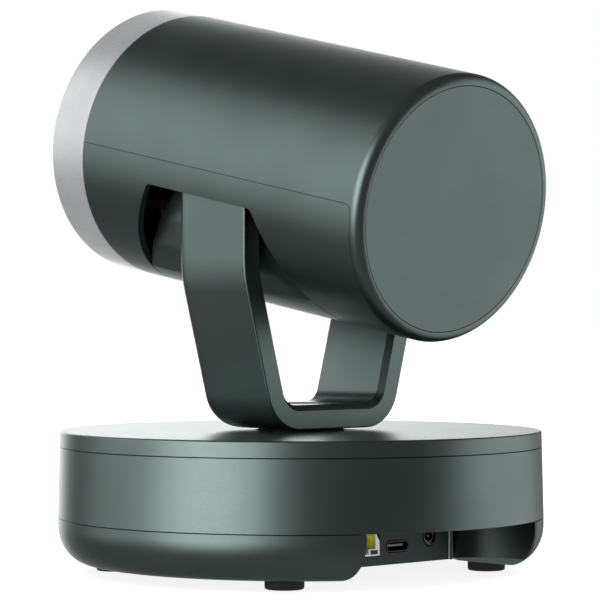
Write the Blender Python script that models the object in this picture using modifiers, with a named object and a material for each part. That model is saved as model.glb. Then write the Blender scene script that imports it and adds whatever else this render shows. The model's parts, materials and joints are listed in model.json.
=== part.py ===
"""A pan-tilt-zoom camera: a round base, a U-shaped yoke that pans on it, and a
tilting head that holds a zoom lens.

Frame: +Z up, the lens looks towards -Y and the sockets are at +Y. The origin
is on the pan axis, at the surface that the feet stand on. Sizes below are in
millimetres, and the helpers turn them into Blender's metres.
"""

import math

import bmesh
import bpy

MM = 0.001
GAP = 0.3                       # clearance between pieces that touch
BIG = 90.0                      # reach of a cutter that passes right through

# Base
BASE_RADIUS = 72.5
BASE_TOP_RADIUS = 71.9
UNDERSIDE_Z = 2.9               # rim of the bottom shell above the ground
ROUND_WIDE = 9.5                # rounding of the bottom shell, seen from the side
ROUND_TALL = 11.5
RIM_INNER_RADIUS = 45.0         # inside the rim, the underside is raised
FLOOR_Z = 5.0
FLOOR_THICK = 1.3
SEAM_LOW_Z = 16.4               # bottom shell to middle ring
SEAM_HIGH_Z = 37.3              # middle ring to top cover
BASE_TOP_Z = 42.1
BASE_WALL = 1.3
RING_WALL = 2.2
COVER_THICK = 2.1

# Socket recess at the back of the base
RECESS_HALF = 34.5
PANEL_Y = 44.7
PANEL_THICK = 1.8
SCOOP_WALL = 1.4
PANEL_TOP_Z = 25.0
PANEL_RIB_X = -18.8             # the flat panel ends here, beside a finger scoop
PANEL_END_X = 30.0
BOARD_TOP_Z = 7.7
BOARD_THICK = 1.0

NETWORK_SIZE = (16.0, 15.0, 13.5)
NETWORK_X = 19.0
NETWORK_Z = 8.0
USB_X = 3.5
USB_Z = 10.2
USB_WIDE = 8.9
USB_TALL = 3.1
POWER_X = -10.0
POWER_Z = 12.4
POWER_RADIUS = 2.8

# Feet and base screws
FOOT_RADIUS = 5.6
FOOT_CIRCLE = 55.6
FOOT_ANGLE = 42.4               # from the X axis
FOOT_TOP_Z = 3.3
SCREW_CIRCLE = 56.0
SCREW_ANGLES = (0.0, 180.0, 270.0)

# Pan drive
SPINDLE_RADIUS = 10.0
SPINDLE_BORE = 6.5
SPINDLE_END_Z = 15.5
PEDESTAL_RADIUS = 13.0          # the spindle's flange, half sunk into the top cover
PEDESTAL_THICK = 1.0
BEARING_RADIUS = 16.0
BEARING_Z = (30.0, 37.0)
PAN_PULLEY_RADIUS = 21.0
PAN_PULLEY_Z = (19.8, 27.0)
PAN_MOTOR_PULLEY_RADIUS = 7.0
PAN_MOTOR_XY = (-38.0, -10.0)
PAN_MOTOR_RADIUS = 12.5

# Yoke
YOKE_BOTTOM_Z = 42.8
YOKE_WIDTH = 29.3
YOKE_THICK = 7.25
YOKE_EDGE = 1.4                 # rounding of its long edges
ARM_OUTER_X = 35.7
ARM_BEND_Z = 88.1               # above it the arms stand upright
YOKE_CORNER_X = 23.6            # where the leaning arm's outer line meets the bottom
ARM_BEND_RADIUS = 40.0
YOKE_CORNER_RADIUS = 13.0
YOKE_INNER_RADIUS = 5.0
ARM_CHAMFER = (2.4, 6.0)        # slope of the arms' tops, inside the head: across and up
TILT_Z = 118.8
REST_TILT = 10.99               # the lens looks up by this angle, in degrees

# Tilt drive
PIN_RADIUS = 3.5
PIN_CLEARANCE = 0.1
PIN_HEAD_RADIUS = 5.2
BUSH_RADIUS = 5.0
TILT_PULLEY_RADIUS = 11.0
TILT_PULLEY_X = (-23.2, -17.2)
TILT_MOTOR_PULLEY_RADIUS = 4.6
TILT_MOTOR_UP = 10.0
TILT_MOTOR_BACK = 16.0
TILT_MOTOR_RADIUS = 10.0

# Head, along its own axis: 0 is the tilt axis, and forward is positive
HEAD_REAR = -65.84
HEAD_FRONT = 68.56
HEAD_REAR_RADIUS = 38.64        # just ahead of the rear fillet
HEAD_FRONT_RADIUS = 41.51
REAR_FILLET = 3.0
HOUSING_WALL = 1.8
RING_SEAM = 53.46               # housing to front ring
CAP_RADIUS = 35.25
CAP_THICK = 2.0
SEAM_CORNER = 2.5
SLOT_TOP = -8.0                 # the arm slot's upper edge, below the head's axis
SLOT_REAR = 15.1                # distance of its leaning edges from the tilt axis
SLOT_FRONT = 16.2
SLOT_LEAN = 30.0                # tilt range each way from level, in degrees
SLOT_CORNER = 2.3
INSERT_HALF = 28.0              # flat sides of the belly insert
INSERT_WALL = 1.3
INSERT_TOP = -6.5
FRAME_HALF = 26.3
FRAME_REAR = -32.0
FRAME_FRONT = 26.0
FRAME_WALL = 2.8
FRAME_UP = (-14.0, 22.0)

# Lens
BARREL_RADIUS = 18.0
BARREL_BORE = 16.2
BARREL_REAR = 26.6
BARREL_FRONT = 61.5
CARRIER_RADIUS = 15.6
ZOOM_REAR = 42.0
ZOOM_LENGTH = 6.0
FOCUS_REAR = 31.0
FOCUS_LENGTH = 4.0
ROD_RADIUS = 0.8
ROD_OFFSET = 14.7

BASE_STEPS = 48                 # sides of the large turned pieces
HEAD_STEPS = 48
MEDIUM_STEPS = 24
SMALL_STEPS = 16
TINY_STEPS = 12

MATERIALS = {
    "green_shell": ((0.055, 0.075, 0.068), 0.42, 0.0),
    "dark_shell": ((0.016, 0.020, 0.019), 0.50, 0.0),
    "satin_silver": ((0.62, 0.62, 0.65), 0.30, 1.0),
    "gloss_black": ((0.008, 0.008, 0.009), 0.08, 0.0),
    "lens_glass": ((0.05, 0.06, 0.09), 0.02, 0.0),
    "rubber": ((0.012, 0.012, 0.012), 0.80, 0.0),
    "steel": ((0.55, 0.56, 0.58), 0.35, 1.0),
    "brass": ((0.70, 0.52, 0.22), 0.30, 1.0),
    "aluminium": ((0.70, 0.71, 0.72), 0.40, 1.0),
    "circuit_green": ((0.01, 0.09, 0.04), 0.45, 0.0),
    "contact_gold": ((0.62, 0.50, 0.12), 0.35, 1.0),
    "black_plastic": ((0.010, 0.010, 0.010), 0.55, 0.0),
}


# ------------------------------------------------------------------ scene and materials

def clear_scene():
    for thing in list(bpy.data.objects):
        bpy.data.objects.remove(thing, do_unlink=True)


def new_collection(name):
    collection = bpy.data.collections.new(name)
    bpy.context.scene.collection.children.link(collection)
    return collection


def make_materials():
    made = {}
    for name, (colour, roughness, metallic) in MATERIALS.items():
        material = bpy.data.materials.new(name)
        material.use_nodes = True
        shader = material.node_tree.nodes["Principled BSDF"]
        shader.inputs["Base Color"].default_value = (*colour, 1.0)
        shader.inputs["Roughness"].default_value = roughness
        shader.inputs["Metallic"].default_value = metallic
        made[name] = material
    return made


clear_scene()
PARTS = new_collection("ptz_camera")
CUTTERS = new_collection("ptz_camera_cutters")
MATERIAL = make_materials()


# ------------------------------------------------------------------ helpers

def place(thing, material, parent, location, rotation):
    """Links an object as a part, or as a hidden cutter when material is None."""
    thing.parent = parent
    thing.location = [value * MM for value in location]
    thing.rotation_euler = [math.radians(angle) for angle in rotation]
    if material is None:
        CUTTERS.objects.link(thing)
        thing.hide_render = True
        thing.display_type = "WIRE"
    else:
        PARTS.objects.link(thing)
        thing.data.materials.append(MATERIAL[material])
    return thing


def axis_empty(name, location, rotation=(0, 0, 0), parent=None):
    empty = bpy.data.objects.new(name, None)
    empty.empty_display_size = 0.02
    empty.parent = parent
    empty.location = [value * MM for value in location]
    empty.rotation_euler = [math.radians(angle) for angle in rotation]
    PARTS.objects.link(empty)
    return empty


def arc(centre, radii, start, end, count):
    """Points of an arc or of part of an ellipse, from start to end in degrees."""
    wide, tall = radii if isinstance(radii, tuple) else (radii, radii)
    points = []
    for step in range(count + 1):
        angle = math.radians(start + (end - start) * step / count)
        points.append((centre[0] + wide * math.cos(angle), centre[1] + tall * math.sin(angle)))
    return points


def fillet(points, radii, count, closed=True):
    """Rounds each corner of a polygon with its own radius; 0 keeps the corner."""
    rounded = []
    total = len(points)
    for index, corner in enumerate(points):
        radius = radii[index]
        ends = not closed and index in (0, total - 1)
        if radius <= 0 or ends:
            rounded.append(corner)
            continue
        before = points[index - 1]
        after = points[(index + 1) % total]
        first = unit(corner, before)
        second = unit(corner, after)
        half = math.acos(max(-1.0, min(1.0, first[0] * second[0] + first[1] * second[1]))) / 2
        tangent = radius / math.tan(half)
        middle = (first[0] + second[0], first[1] + second[1])
        length = math.hypot(*middle)
        away = radius / math.sin(half)
        centre = (corner[0] + middle[0] / length * away, corner[1] + middle[1] / length * away)
        begin = (corner[0] + first[0] * tangent, corner[1] + first[1] * tangent)
        finish = (corner[0] + second[0] * tangent, corner[1] + second[1] * tangent)
        start = math.atan2(begin[1] - centre[1], begin[0] - centre[0])
        sweep = math.atan2(finish[1] - centre[1], finish[0] - centre[0]) - start
        sweep = (sweep + math.pi) % (2 * math.pi) - math.pi
        rounded += arc(centre, radius, math.degrees(start), math.degrees(start + sweep), count)
    return rounded


def unit(start, end):
    across = (end[0] - start[0], end[1] - start[1])
    length = math.hypot(*across)
    return across[0] / length, across[1] / length


def offset_path(points, distance):
    """The open path moved sideways, to the left of its direction."""
    moved = []
    for index, point in enumerate(points):
        normals = []
        if index > 0:
            run = unit(points[index - 1], point)
            normals.append((-run[1], run[0]))
        if index < len(points) - 1:
            run = unit(point, points[index + 1])
            normals.append((-run[1], run[0]))
        across = [sum(n[axis] for n in normals) for axis in (0, 1)]
        scale = distance * len(normals) / (across[0] ** 2 + across[1] ** 2)
        moved.append((point[0] + across[0] * scale, point[1] + across[1] * scale))
    return moved


def mirrored(points):
    """A half outline at +X, followed by its mirror image back to the start."""
    return points + [(-x, y) for x, y in reversed(points)]


def turned(name, profile, material, steps=SMALL_STEPS, parent=None, location=(0, 0, 0),
           rotation=(0, 0, 0)):
    """A solid turned about local Z. The profile is (radius, height) and runs down
    its outer side; it closes on itself unless it starts on the axis."""
    mesh = bpy.data.meshes.new(name)
    shape = bmesh.new()
    verts = [shape.verts.new((radius * MM, 0, height * MM)) for radius, height in profile]
    for first, second in zip(verts, verts[1:]):
        shape.edges.new((first, second))
    if profile[0][0] > 0:
        shape.edges.new((verts[-1], verts[0]))
    shape.to_mesh(mesh)
    shape.free()
    thing = place(bpy.data.objects.new(name, mesh), material, parent, location, rotation)
    screw = thing.modifiers.new("Turn", "SCREW")
    screw.steps = steps
    screw.render_steps = steps
    screw.use_merge_vertices = True
    screw.merge_threshold = 0.00001
    screw.use_smooth_shade = True
    return thing


def disc(name, radius, low, high, material, **where):
    return turned(name, [(0, high), (radius, high), (radius, low), (0, low)], material, **where)


def ring(name, inner, outer, low, high, material, **where):
    profile = [(inner, high), (outer, high), (outer, low), (inner, low)]
    return turned(name, profile, material, **where)


def prism(name, outline, low, high, material, parent=None, location=(0, 0, 0),
          rotation=(0, 0, 0)):
    """An outline in the local XY plane, extruded along Z from low to high."""
    mesh = bpy.data.meshes.new(name)
    shape = bmesh.new()
    face = shape.faces.new([shape.verts.new((x * MM, y * MM, low * MM)) for x, y in outline])
    grown = bmesh.ops.extrude_face_region(shape, geom=[face])["geom"]
    rising = [item for item in grown if isinstance(item, bmesh.types.BMVert)]
    bmesh.ops.translate(shape, verts=rising, vec=(0, 0, (high - low) * MM))
    bmesh.ops.recalc_face_normals(shape, faces=shape.faces)
    shape.to_mesh(mesh)
    shape.free()
    return place(bpy.data.objects.new(name, mesh), material, parent, location, rotation)


def box(name, low, high, material, parent=None):
    """An upright box between two corners."""
    mesh = bpy.data.meshes.new(name)
    shape = bmesh.new()
    bmesh.ops.create_cube(shape, size=1.0)
    size = [(b - a) * MM for a, b in zip(low, high)]
    bmesh.ops.scale(shape, verts=shape.verts, vec=size)
    shape.to_mesh(mesh)
    shape.free()
    centre = [(a + b) / 2 for a, b in zip(low, high)]
    return place(bpy.data.objects.new(name, mesh), material, parent, centre, (0, 0, 0))


def combine(thing, other, operation):
    boolean = thing.modifiers.new(operation.title(), "BOOLEAN")
    boolean.operation = operation
    boolean.solver = "EXACT"
    boolean.object = other
    return thing


def cut(thing, *cutters):
    for cutter in cutters:
        combine(thing, cutter, "DIFFERENCE")
    return thing


def belt(name, first, first_radius, second, second_radius, low, high, material, **where):
    """A closed ribbon round two pulleys: tangent lines and two arcs, made solid."""
    across = (second[0] - first[0], second[1] - first[1])
    lean = math.degrees(math.atan2(across[1], across[0]))
    wrap = math.degrees(math.acos((first_radius - second_radius) / math.hypot(*across)))
    path = arc(first, first_radius, lean + wrap, lean + 360 - wrap, 16)
    path += arc(second, second_radius, lean - wrap, lean + wrap, 8)
    mesh = bpy.data.meshes.new(name)
    shape = bmesh.new()
    lower = [shape.verts.new((x * MM, y * MM, low * MM)) for x, y in path]
    edges = [shape.edges.new(pair) for pair in zip(lower, lower[1:] + lower[:1])]
    grown = bmesh.ops.extrude_edge_only(shape, edges=edges)["geom"]
    rising = [item for item in grown if isinstance(item, bmesh.types.BMVert)]
    bmesh.ops.translate(shape, verts=rising, vec=(0, 0, (high - low) * MM))
    bmesh.ops.recalc_face_normals(shape, faces=shape.faces)
    shape.to_mesh(mesh)
    shape.free()
    thing = place(bpy.data.objects.new(name, mesh), material, **where)
    solid = thing.modifiers.new("Thickness", "SOLIDIFY")
    solid.thickness = 1.0 * MM
    solid.offset = 1.0
    return thing


def comb(width, back, front, count, tooth):
    """A bar between -width/2 and width/2 with teeth from back to front."""
    pitch = (width - tooth) / (count - 1)
    points = [(-width / 2, 0), (width / 2, 0)]
    for index in reversed(range(count)):
        left = -width / 2 + index * pitch
        points += [(left + tooth, back), (left + tooth, front), (left, front), (left, back)]
    return points[:2] + points[3:-1]


# ------------------------------------------------------------------ base

PAN_AXIS = axis_empty("pan_axis", (0, 0, 0))


def bottom_profile():
    floor_top = FLOOR_Z + FLOOR_THICK
    centre = (BASE_RADIUS - ROUND_WIDE, UNDERSIDE_Z + ROUND_TALL)
    outer = arc(centre, (ROUND_WIDE, ROUND_TALL), 0, -90, 6)
    inner = arc(centre, (ROUND_WIDE - BASE_WALL, centre[1] - floor_top), -90, 0, 3)
    return (
        [(BASE_RADIUS, SEAM_LOW_Z - GAP / 2)] + outer
        + [(RIM_INNER_RADIUS + 2, UNDERSIDE_Z), (RIM_INNER_RADIUS, FLOOR_Z)]
        + [(7.0, FLOOR_Z), (7.0, floor_top)]
        + inner + [(BASE_RADIUS - BASE_WALL, SEAM_LOW_Z - GAP / 2)]
    )


def foot_places():
    across = FOOT_CIRCLE * math.cos(math.radians(FOOT_ANGLE))
    along = FOOT_CIRCLE * math.sin(math.radians(FOOT_ANGLE))
    return {
        "rear_left": (across, along), "rear_right": (-across, along),
        "front_left": (across, -along), "front_right": (-across, -along),
    }


def screw_places():
    return [
        (SCREW_CIRCLE * math.cos(math.radians(a)), SCREW_CIRCLE * math.sin(math.radians(a)))
        for a in SCREW_ANGLES
    ]


def base_shells():
    bottom = turned("base_bottom_shell", bottom_profile(), "green_shell", BASE_STEPS)
    cut(
        bottom,
        box("recess_cutter", (-RECESS_HALF, PANEL_Y - PANEL_THICK - SCOOP_WALL - GAP, -5),
            (RECESS_HALF, BIG, 20), None),
        box("channel_cutter", (-RECESS_HALF, 20, -5), (RECESS_HALF, BIG, FLOOR_Z), None),
    )
    for name, (x, y) in foot_places().items():
        pocket = disc("foot_cutter_" + name, FOOT_RADIUS + GAP, -5, FOOT_TOP_Z + GAP, None,
                      location=(x, y, 0))
        cut(bottom, pocket)
    for index, (x, y) in enumerate(screw_places()):
        profile = [(0, 20), (1.9, 20), (1.9, 4.5), (3.5, 4.5), (3.5, -5), (0, -5)]
        cut(bottom, turned(f"screw_cutter_{index}", profile, None, TINY_STEPS, location=(x, y, 0)))

    slope = (BASE_RADIUS - BASE_TOP_RADIUS) / (BASE_TOP_Z - SEAM_LOW_Z)
    seam_radius = BASE_RADIUS - slope * (SEAM_HIGH_Z - SEAM_LOW_Z)
    low, high = SEAM_LOW_Z + GAP / 2, SEAM_HIGH_Z - GAP / 2
    inner = BASE_RADIUS - RING_WALL
    turned("base_middle_ring",
           [(inner, high), (seam_radius, high), (BASE_RADIUS, low), (inner, low)],
           "green_shell", BASE_STEPS)

    under = BASE_TOP_Z - COVER_THICK
    edge = SEAM_HIGH_Z + GAP / 2
    boss = BEARING_RADIUS + GAP
    sunk = YOKE_BOTTOM_Z - PEDESTAL_THICK - 2 * GAP
    well = PEDESTAL_RADIUS + 2 * GAP
    cover = turned("base_top_cover", [
        (SPINDLE_RADIUS + 0.8, sunk), (well, sunk), (well, BASE_TOP_Z),
        (BASE_TOP_RADIUS - 0.4, BASE_TOP_Z),
        (BASE_TOP_RADIUS, BASE_TOP_Z - 0.4), (seam_radius, edge), (inner, edge),
        (inner, under), (boss + 2.2, under), (boss + 2.2, BEARING_Z[0]), (boss, BEARING_Z[0]),
        (boss, BEARING_Z[1] + GAP), (SPINDLE_RADIUS + 0.8, BEARING_Z[1] + GAP),
    ], "green_shell", BASE_STEPS)
    for index, (x, y) in enumerate(screw_places()):
        post = disc(f"screw_post_{index}", 4.0, 6.8, under + 1, None, steps=TINY_STEPS,
                    location=(x, y, 0))
        combine(cover, post, "UNION")
        pilot = disc(f"post_cutter_{index}", 1.8, -5, 18, None, steps=TINY_STEPS, location=(x, y, 0))
        cut(cover, pilot)


def socket_panel():
    edge = RECESS_HALF - 2 * GAP
    reach = math.sqrt((BASE_RADIUS - RING_WALL - GAP) ** 2 - edge ** 2) - 0.2
    back = PANEL_Y - PANEL_THICK
    width = SCOOP_WALL
    bend = 11.0
    centre = (-edge + width + bend, reach)
    scoop = arc(centre, (bend, reach - back), 180, 270, 8)
    scoop_back = arc(centre, (bend + width, reach - back + width), 270, 180, 8)
    rib = arc((PANEL_RIB_X, PANEL_Y - 0.8), 0.8, 180, 90, 3)
    outline = (
        scoop + rib + [(PANEL_END_X, PANEL_Y), (edge - width, reach), (edge, reach)]
        + [(PANEL_END_X + width, back), (PANEL_RIB_X + 0.6, back)]
        + [(PANEL_RIB_X + 0.6, back - width)] + scoop_back
    )
    panel = prism("port_panel", outline, FLOOR_Z + 0.1, PANEL_TOP_Z, "green_shell")
    inner = BASE_RADIUS - RING_WALL - GAP
    rounding = arc((BASE_RADIUS - ROUND_WIDE, UNDERSIDE_Z + ROUND_TALL),
                   (ROUND_WIDE - RING_WALL - GAP, ROUND_TALL - GAP), 0, -70, 6)
    region = turned("panel_region", [(0, PANEL_TOP_Z + 5), (inner, PANEL_TOP_Z + 5)] + rounding
                    + [(rounding[-1][0], -5), (0, -5)], None, BASE_STEPS)
    combine(panel, region, "INTERSECT")
    roof_arc = arc((0, 0), inner, 61.5, 118.5, 12)
    roof = prism("panel_roof", [(-edge, back), (edge, back)] + roof_arc,
                 PANEL_TOP_Z - 1.5, PANEL_TOP_Z - 0.01, None)
    combine(panel, roof, "UNION")
    half = NETWORK_SIZE[0] / 2 + GAP
    usb = fillet(rectangle(USB_WIDE + 0.5, USB_TALL + 0.5), [1.7] * 4, 4)
    cut(
        panel,
        box("network_cutter", (NETWORK_X - half, back - 3, NETWORK_Z - GAP),
            (NETWORK_X + half, PANEL_Y + 3, NETWORK_Z + NETWORK_SIZE[2] + GAP), None),
        prism("usb_cutter", usb, -5, 5, None, location=(USB_X, PANEL_Y, USB_Z),
              rotation=(90, 0, 0)),
        disc("power_cutter", POWER_RADIUS + GAP, -5, 5, None,
             location=(POWER_X, PANEL_Y, POWER_Z), rotation=(90, 0, 0)),
    )


def rectangle(width, height):
    return [(-width / 2, -height / 2), (width / 2, -height / 2),
            (width / 2, height / 2), (-width / 2, height / 2)]


def network_socket():
    wide, deep, tall = NETWORK_SIZE
    front = PANEL_Y + 0.2
    jack = box("network_jack", (NETWORK_X - wide / 2, front - deep, NETWORK_Z),
               (NETWORK_X + wide / 2, front, NETWORK_Z + tall), "satin_silver")
    cut(
        jack,
        box("plug_cutter", (NETWORK_X - 6.3, front - 12.5, NETWORK_Z + 2.0),
            (NETWORK_X + 6.3, front + 2, NETWORK_Z + 11.0), None),
        box("latch_cutter", (NETWORK_X - 3.6, front - 12.4, NETWORK_Z + 0.6),
            (NETWORK_X + 3.6, front + 2, NETWORK_Z + 2.5), None),
    )
    teeth = comb(10.0, 3.0, 5.0, 8, 0.7)
    prism("network_contacts", teeth, 0, 7.0, "contact_gold",
          location=(NETWORK_X, front - 12.2, NETWORK_Z + 3.2), rotation=(0, 0, 0))


def usb_socket():
    front = PANEL_Y - 0.1
    shell = fillet(rectangle(USB_WIDE, USB_TALL), [1.5] * 4, 4)
    bore = fillet(rectangle(USB_WIDE - 0.6, USB_TALL - 0.6), [1.2] * 4, 4)
    jack = prism("usb_shell", shell, 0, 8.5, "steel",
                 location=(USB_X, front, USB_Z), rotation=(90, 0, 0))
    cut(jack, prism("usb_bore_cutter", bore, -2, 7.9, None,
                    location=(USB_X, front, USB_Z), rotation=(90, 0, 0)))
    box("usb_tongue", (USB_X - 3.35, front - 7.6, USB_Z - 0.35),
        (USB_X + 3.35, front - 1.2, USB_Z + 0.35), "black_plastic")


def power_socket():
    back = PANEL_Y - PANEL_THICK - GAP
    front = PANEL_Y - 0.2
    jack = box("power_jack", (POWER_X - 4.5, back - 12, BOARD_TOP_Z + GAP),
               (POWER_X + 4.5, back, POWER_Z + 4.4), "black_plastic")
    nose = disc("power_nose", POWER_RADIUS, 0, 5, None,
                location=(POWER_X, front, POWER_Z), rotation=(90, 0, 0))
    combine(jack, nose, "UNION")
    cut(jack, disc("power_bore_cutter", 2.1, -2, 10, None,
                   location=(POWER_X, front, POWER_Z), rotation=(90, 0, 0)))
    disc("power_pin", 0.65, 0.8, 9.6, "brass", steps=TINY_STEPS,
         location=(POWER_X, front, POWER_Z), rotation=(90, 0, 0))


def base_inside():
    board_low = BOARD_TOP_Z - BOARD_THICK
    board_back = PANEL_Y - PANEL_THICK - SCOOP_WALL - GAP
    box("main_board", (-31, 15.5, board_low), (30, board_back, BOARD_TOP_Z), "circuit_green")
    sink = comb(20.0, 1.5, 6.0, 6, 1.4)
    prism("processor_heat_sink", sink, 0, 10.0, "aluminium",
          location=(-18.0, 27.5, BOARD_TOP_Z + GAP), rotation=(90, 0, 0))
    radius = 57.0
    edge_y = -26.0
    ends = math.degrees(math.asin(edge_y / radius))
    segment = arc((0, 0), radius, 180 - ends, 360 + ends, 16)
    plate = prism("ballast_plate", segment, FLOOR_Z + FLOOR_THICK + GAP, 12.0, "steel")
    cut(plate, disc("plate_cutter", 5.0, -5, 20, None, location=(0, -SCREW_CIRCLE, 0)))
    profile = [(2.6, 13.0), (4.5, 13.0), (4.5, 7.8), (6.7, 7.8), (6.7, FLOOR_Z + 0.2),
               (2.6, FLOOR_Z + 0.2)]
    turned("tripod_nut", profile, "brass")
    for name, (x, y) in foot_places().items():
        profile = [(0, FOOT_TOP_Z), (FOOT_RADIUS, FOOT_TOP_Z), (FOOT_RADIUS, 0.5),
                   (FOOT_RADIUS - 0.5, 0), (0, 0)]
        turned("foot_" + name, profile, "rubber", location=(x, y, 0))
    for index, (x, y) in enumerate(screw_places()):
        profile = [(0, 14), (1.5, 14), (1.5, 4.2), (3.1, 4.2), (3.1, 3.2), (0, 3.2)]
        turned(f"base_screw_{index + 1}", profile, "steel", TINY_STEPS, location=(x, y, 0))


def pan_drive():
    low, high = PAN_PULLEY_Z
    ring("pan_bearing", SPINDLE_RADIUS + 0.2, BEARING_RADIUS, BEARING_Z[0] + GAP, BEARING_Z[1],
         "steel", steps=MEDIUM_STEPS)
    motor_top = low - 1.0
    turned("pan_motor", [
        (0, motor_top - 8), (1.8, motor_top - 8), (1.8, motor_top),
        (PAN_MOTOR_RADIUS, motor_top), (PAN_MOTOR_RADIUS, 6.6), (0, 6.6),
    ], "steel", location=(*PAN_MOTOR_XY, 0))
    spin = axis_empty("pan_motor_axis", (*PAN_MOTOR_XY, 0))
    pulley = [(0, high), (PAN_MOTOR_PULLEY_RADIUS, high), (PAN_MOTOR_PULLEY_RADIUS, low),
              (1.4, low), (1.4, motor_top - 7), (0, motor_top - 7)]
    turned("pan_motor_pulley", pulley, "aluminium", parent=spin)
    belt("pan_belt", (0, 0), PAN_PULLEY_RADIUS + GAP, PAN_MOTOR_XY,
         PAN_MOTOR_PULLEY_RADIUS + GAP, low + 0.6, high - 0.6, "rubber",
         parent=None, location=(0, 0, 0), rotation=(0, 0, 0))


# ------------------------------------------------------------------ yoke

def yoke_outline():
    """Front view of the yoke: a U with leaning arms, bent upright at the top."""
    top = TILT_Z + YOKE_WIDTH / 2 + 1
    across, rise = ARM_CHAMFER
    half = [(ARM_OUTER_X, top), (ARM_OUTER_X, ARM_BEND_Z), (YOKE_CORNER_X, YOKE_BOTTOM_Z)]
    outer = mirrored(half)
    inner = offset_path(outer, -YOKE_THICK)
    bends = [0, ARM_BEND_RADIUS, YOKE_CORNER_RADIUS]
    inner_bends = [0, ARM_BEND_RADIUS - YOKE_THICK, YOKE_INNER_RADIUS]
    outside = fillet(outer, bends + bends[::-1], 4, closed=False)
    inside = fillet(inner, inner_bends + inner_bends[::-1], 4, closed=False)
    chamfer = [(ARM_OUTER_X - across, top), (ARM_OUTER_X, TILT_Z + rise)]
    return (
        chamfer + outside[1:-1] + [(-x, z) for x, z in reversed(chamfer)] + inside[::-1]
    )


def yoke():
    bracket = prism("yoke_bracket", yoke_outline(), -YOKE_WIDTH / 2, YOKE_WIDTH / 2,
                    "green_shell", parent=PAN_AXIS, rotation=(90, 0, 0))
    rounding = bracket.modifiers.new("Edges", "BEVEL")
    rounding.width = YOKE_EDGE * MM
    rounding.segments = 2
    rounding.limit_method = "ANGLE"
    half = YOKE_WIDTH / 2
    lug = [(-half, YOKE_BOTTOM_Z - 5), (half, YOKE_BOTTOM_Z - 5)]
    lug += arc((0, TILT_Z), half, 0, 180, 16)
    shape = prism("lug_cutter", lug, -BIG, BIG, None, rotation=(90, 0, 90))
    combine(bracket, shape, "INTERSECT")
    hole = disc("pin_cutter", PIN_RADIUS + GAP, -BIG, BIG, None, location=(0, 0, TILT_Z),
                rotation=(0, 90, 0))
    cable = disc("cable_cutter", SPINDLE_BORE, YOKE_BOTTOM_Z - 5, YOKE_BOTTOM_Z + 10, None)
    cut(bracket, hole, cable)

    high = YOKE_BOTTOM_Z - GAP
    low = high - PEDESTAL_THICK
    profile = [(SPINDLE_BORE, high), (PEDESTAL_RADIUS, high), (PEDESTAL_RADIUS, low),
               (SPINDLE_RADIUS, low), (SPINDLE_RADIUS, SPINDLE_END_Z),
               (SPINDLE_BORE, SPINDLE_END_Z)]
    turned("pan_spindle", profile, "dark_shell", MEDIUM_STEPS, parent=PAN_AXIS)
    ring("pan_pulley", SPINDLE_RADIUS + GAP, PAN_PULLEY_RADIUS, *PAN_PULLEY_Z, "aluminium",
         steps=MEDIUM_STEPS, parent=PAN_AXIS)
    ring("spindle_nut", SPINDLE_RADIUS + GAP, 14.0, SPINDLE_END_Z, PAN_PULLEY_Z[0] - GAP,
         "brass", steps=MEDIUM_STEPS, parent=PAN_AXIS)


def tilt_pins():
    head_low = ARM_OUTER_X + GAP
    head_high = head_low + 1.2
    for side, turn, inner in (("left", 90, 23.8), ("right", -90, -TILT_PULLEY_X[1])):
        profile = [(0, head_high), (PIN_HEAD_RADIUS, head_high), (PIN_HEAD_RADIUS, head_low),
                   (PIN_RADIUS, head_low), (PIN_RADIUS, inner), (0, inner)]
        turned("tilt_pin_" + side, profile, "steel", parent=TILT_PIVOT, rotation=(0, turn, 0))
    ring("tilt_pulley", PIN_RADIUS + GAP, TILT_PULLEY_RADIUS, *TILT_PULLEY_X, "aluminium",
         parent=TILT_PIVOT, rotation=(0, 90, 0), steps=MEDIUM_STEPS)


TILT_PIVOT = axis_empty("tilt_pivot", (0, 0, TILT_Z), parent=PAN_AXIS)
# Local Z of this empty points along the head's axis to the front, and local Y up.
HEAD_AXIS = axis_empty("head_axis", (0, 0, 0), (90 - REST_TILT, 0, 0), parent=TILT_PIVOT)


# ------------------------------------------------------------------ head

def head_radius(along):
    span = HEAD_FRONT - HEAD_REAR - REAR_FILLET
    part = (along - HEAD_REAR - REAR_FILLET) / span
    return HEAD_REAR_RADIUS + (HEAD_FRONT_RADIUS - HEAD_REAR_RADIUS) * part


def housing_profile(front):
    start = HEAD_REAR + REAR_FILLET
    centre = (HEAD_REAR_RADIUS - REAR_FILLET, start)
    inner_rear = head_radius(start) - HOUSING_WALL
    return (
        [(head_radius(front), front)] + arc(centre, REAR_FILLET, 0, -90, 4)
        + [(CAP_RADIUS + GAP, HEAD_REAR), (CAP_RADIUS + GAP, HEAD_REAR + CAP_THICK)]
        + [(inner_rear, start + 0.6), (head_radius(front) - HOUSING_WALL, front)]
    )


def lower_region(inset):
    """Side view of what the lower housing takes, as (rearward, up) points: all
    below the head's middle and ahead of the rear rim, with one rounded corner."""
    rear = -(HEAD_REAR + REAR_FILLET) - inset
    corners = [(-BIG, -BIG), (rear, -BIG), (rear, -inset), (-BIG, -inset)]
    return fillet(corners, [0, 0, SEAM_CORNER - inset, 0], 4)


def slot_outline(inset, top):
    """Side view of the arm slots: a fan about the tilt axis, as (rearward, up)."""
    lean = math.radians(SLOT_LEAN)

    def edge(reach, up):
        return (reach - inset - up * math.sin(lean)) / math.cos(lean)

    rear = [(edge(SLOT_REAR, up), up) for up in (-BIG, top)]
    front = [(-edge(SLOT_FRONT, up), up) for up in (top, -BIG)]
    return fillet(rear + front, [0, SLOT_CORNER, SLOT_CORNER, 0], 3)


def side_prism(name, outline, low, high, material):
    """An outline in (rearward, up), extruded across the head."""
    return prism(name, outline, low, high, material, parent=HEAD_AXIS, rotation=(0, 90, 0))


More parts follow.
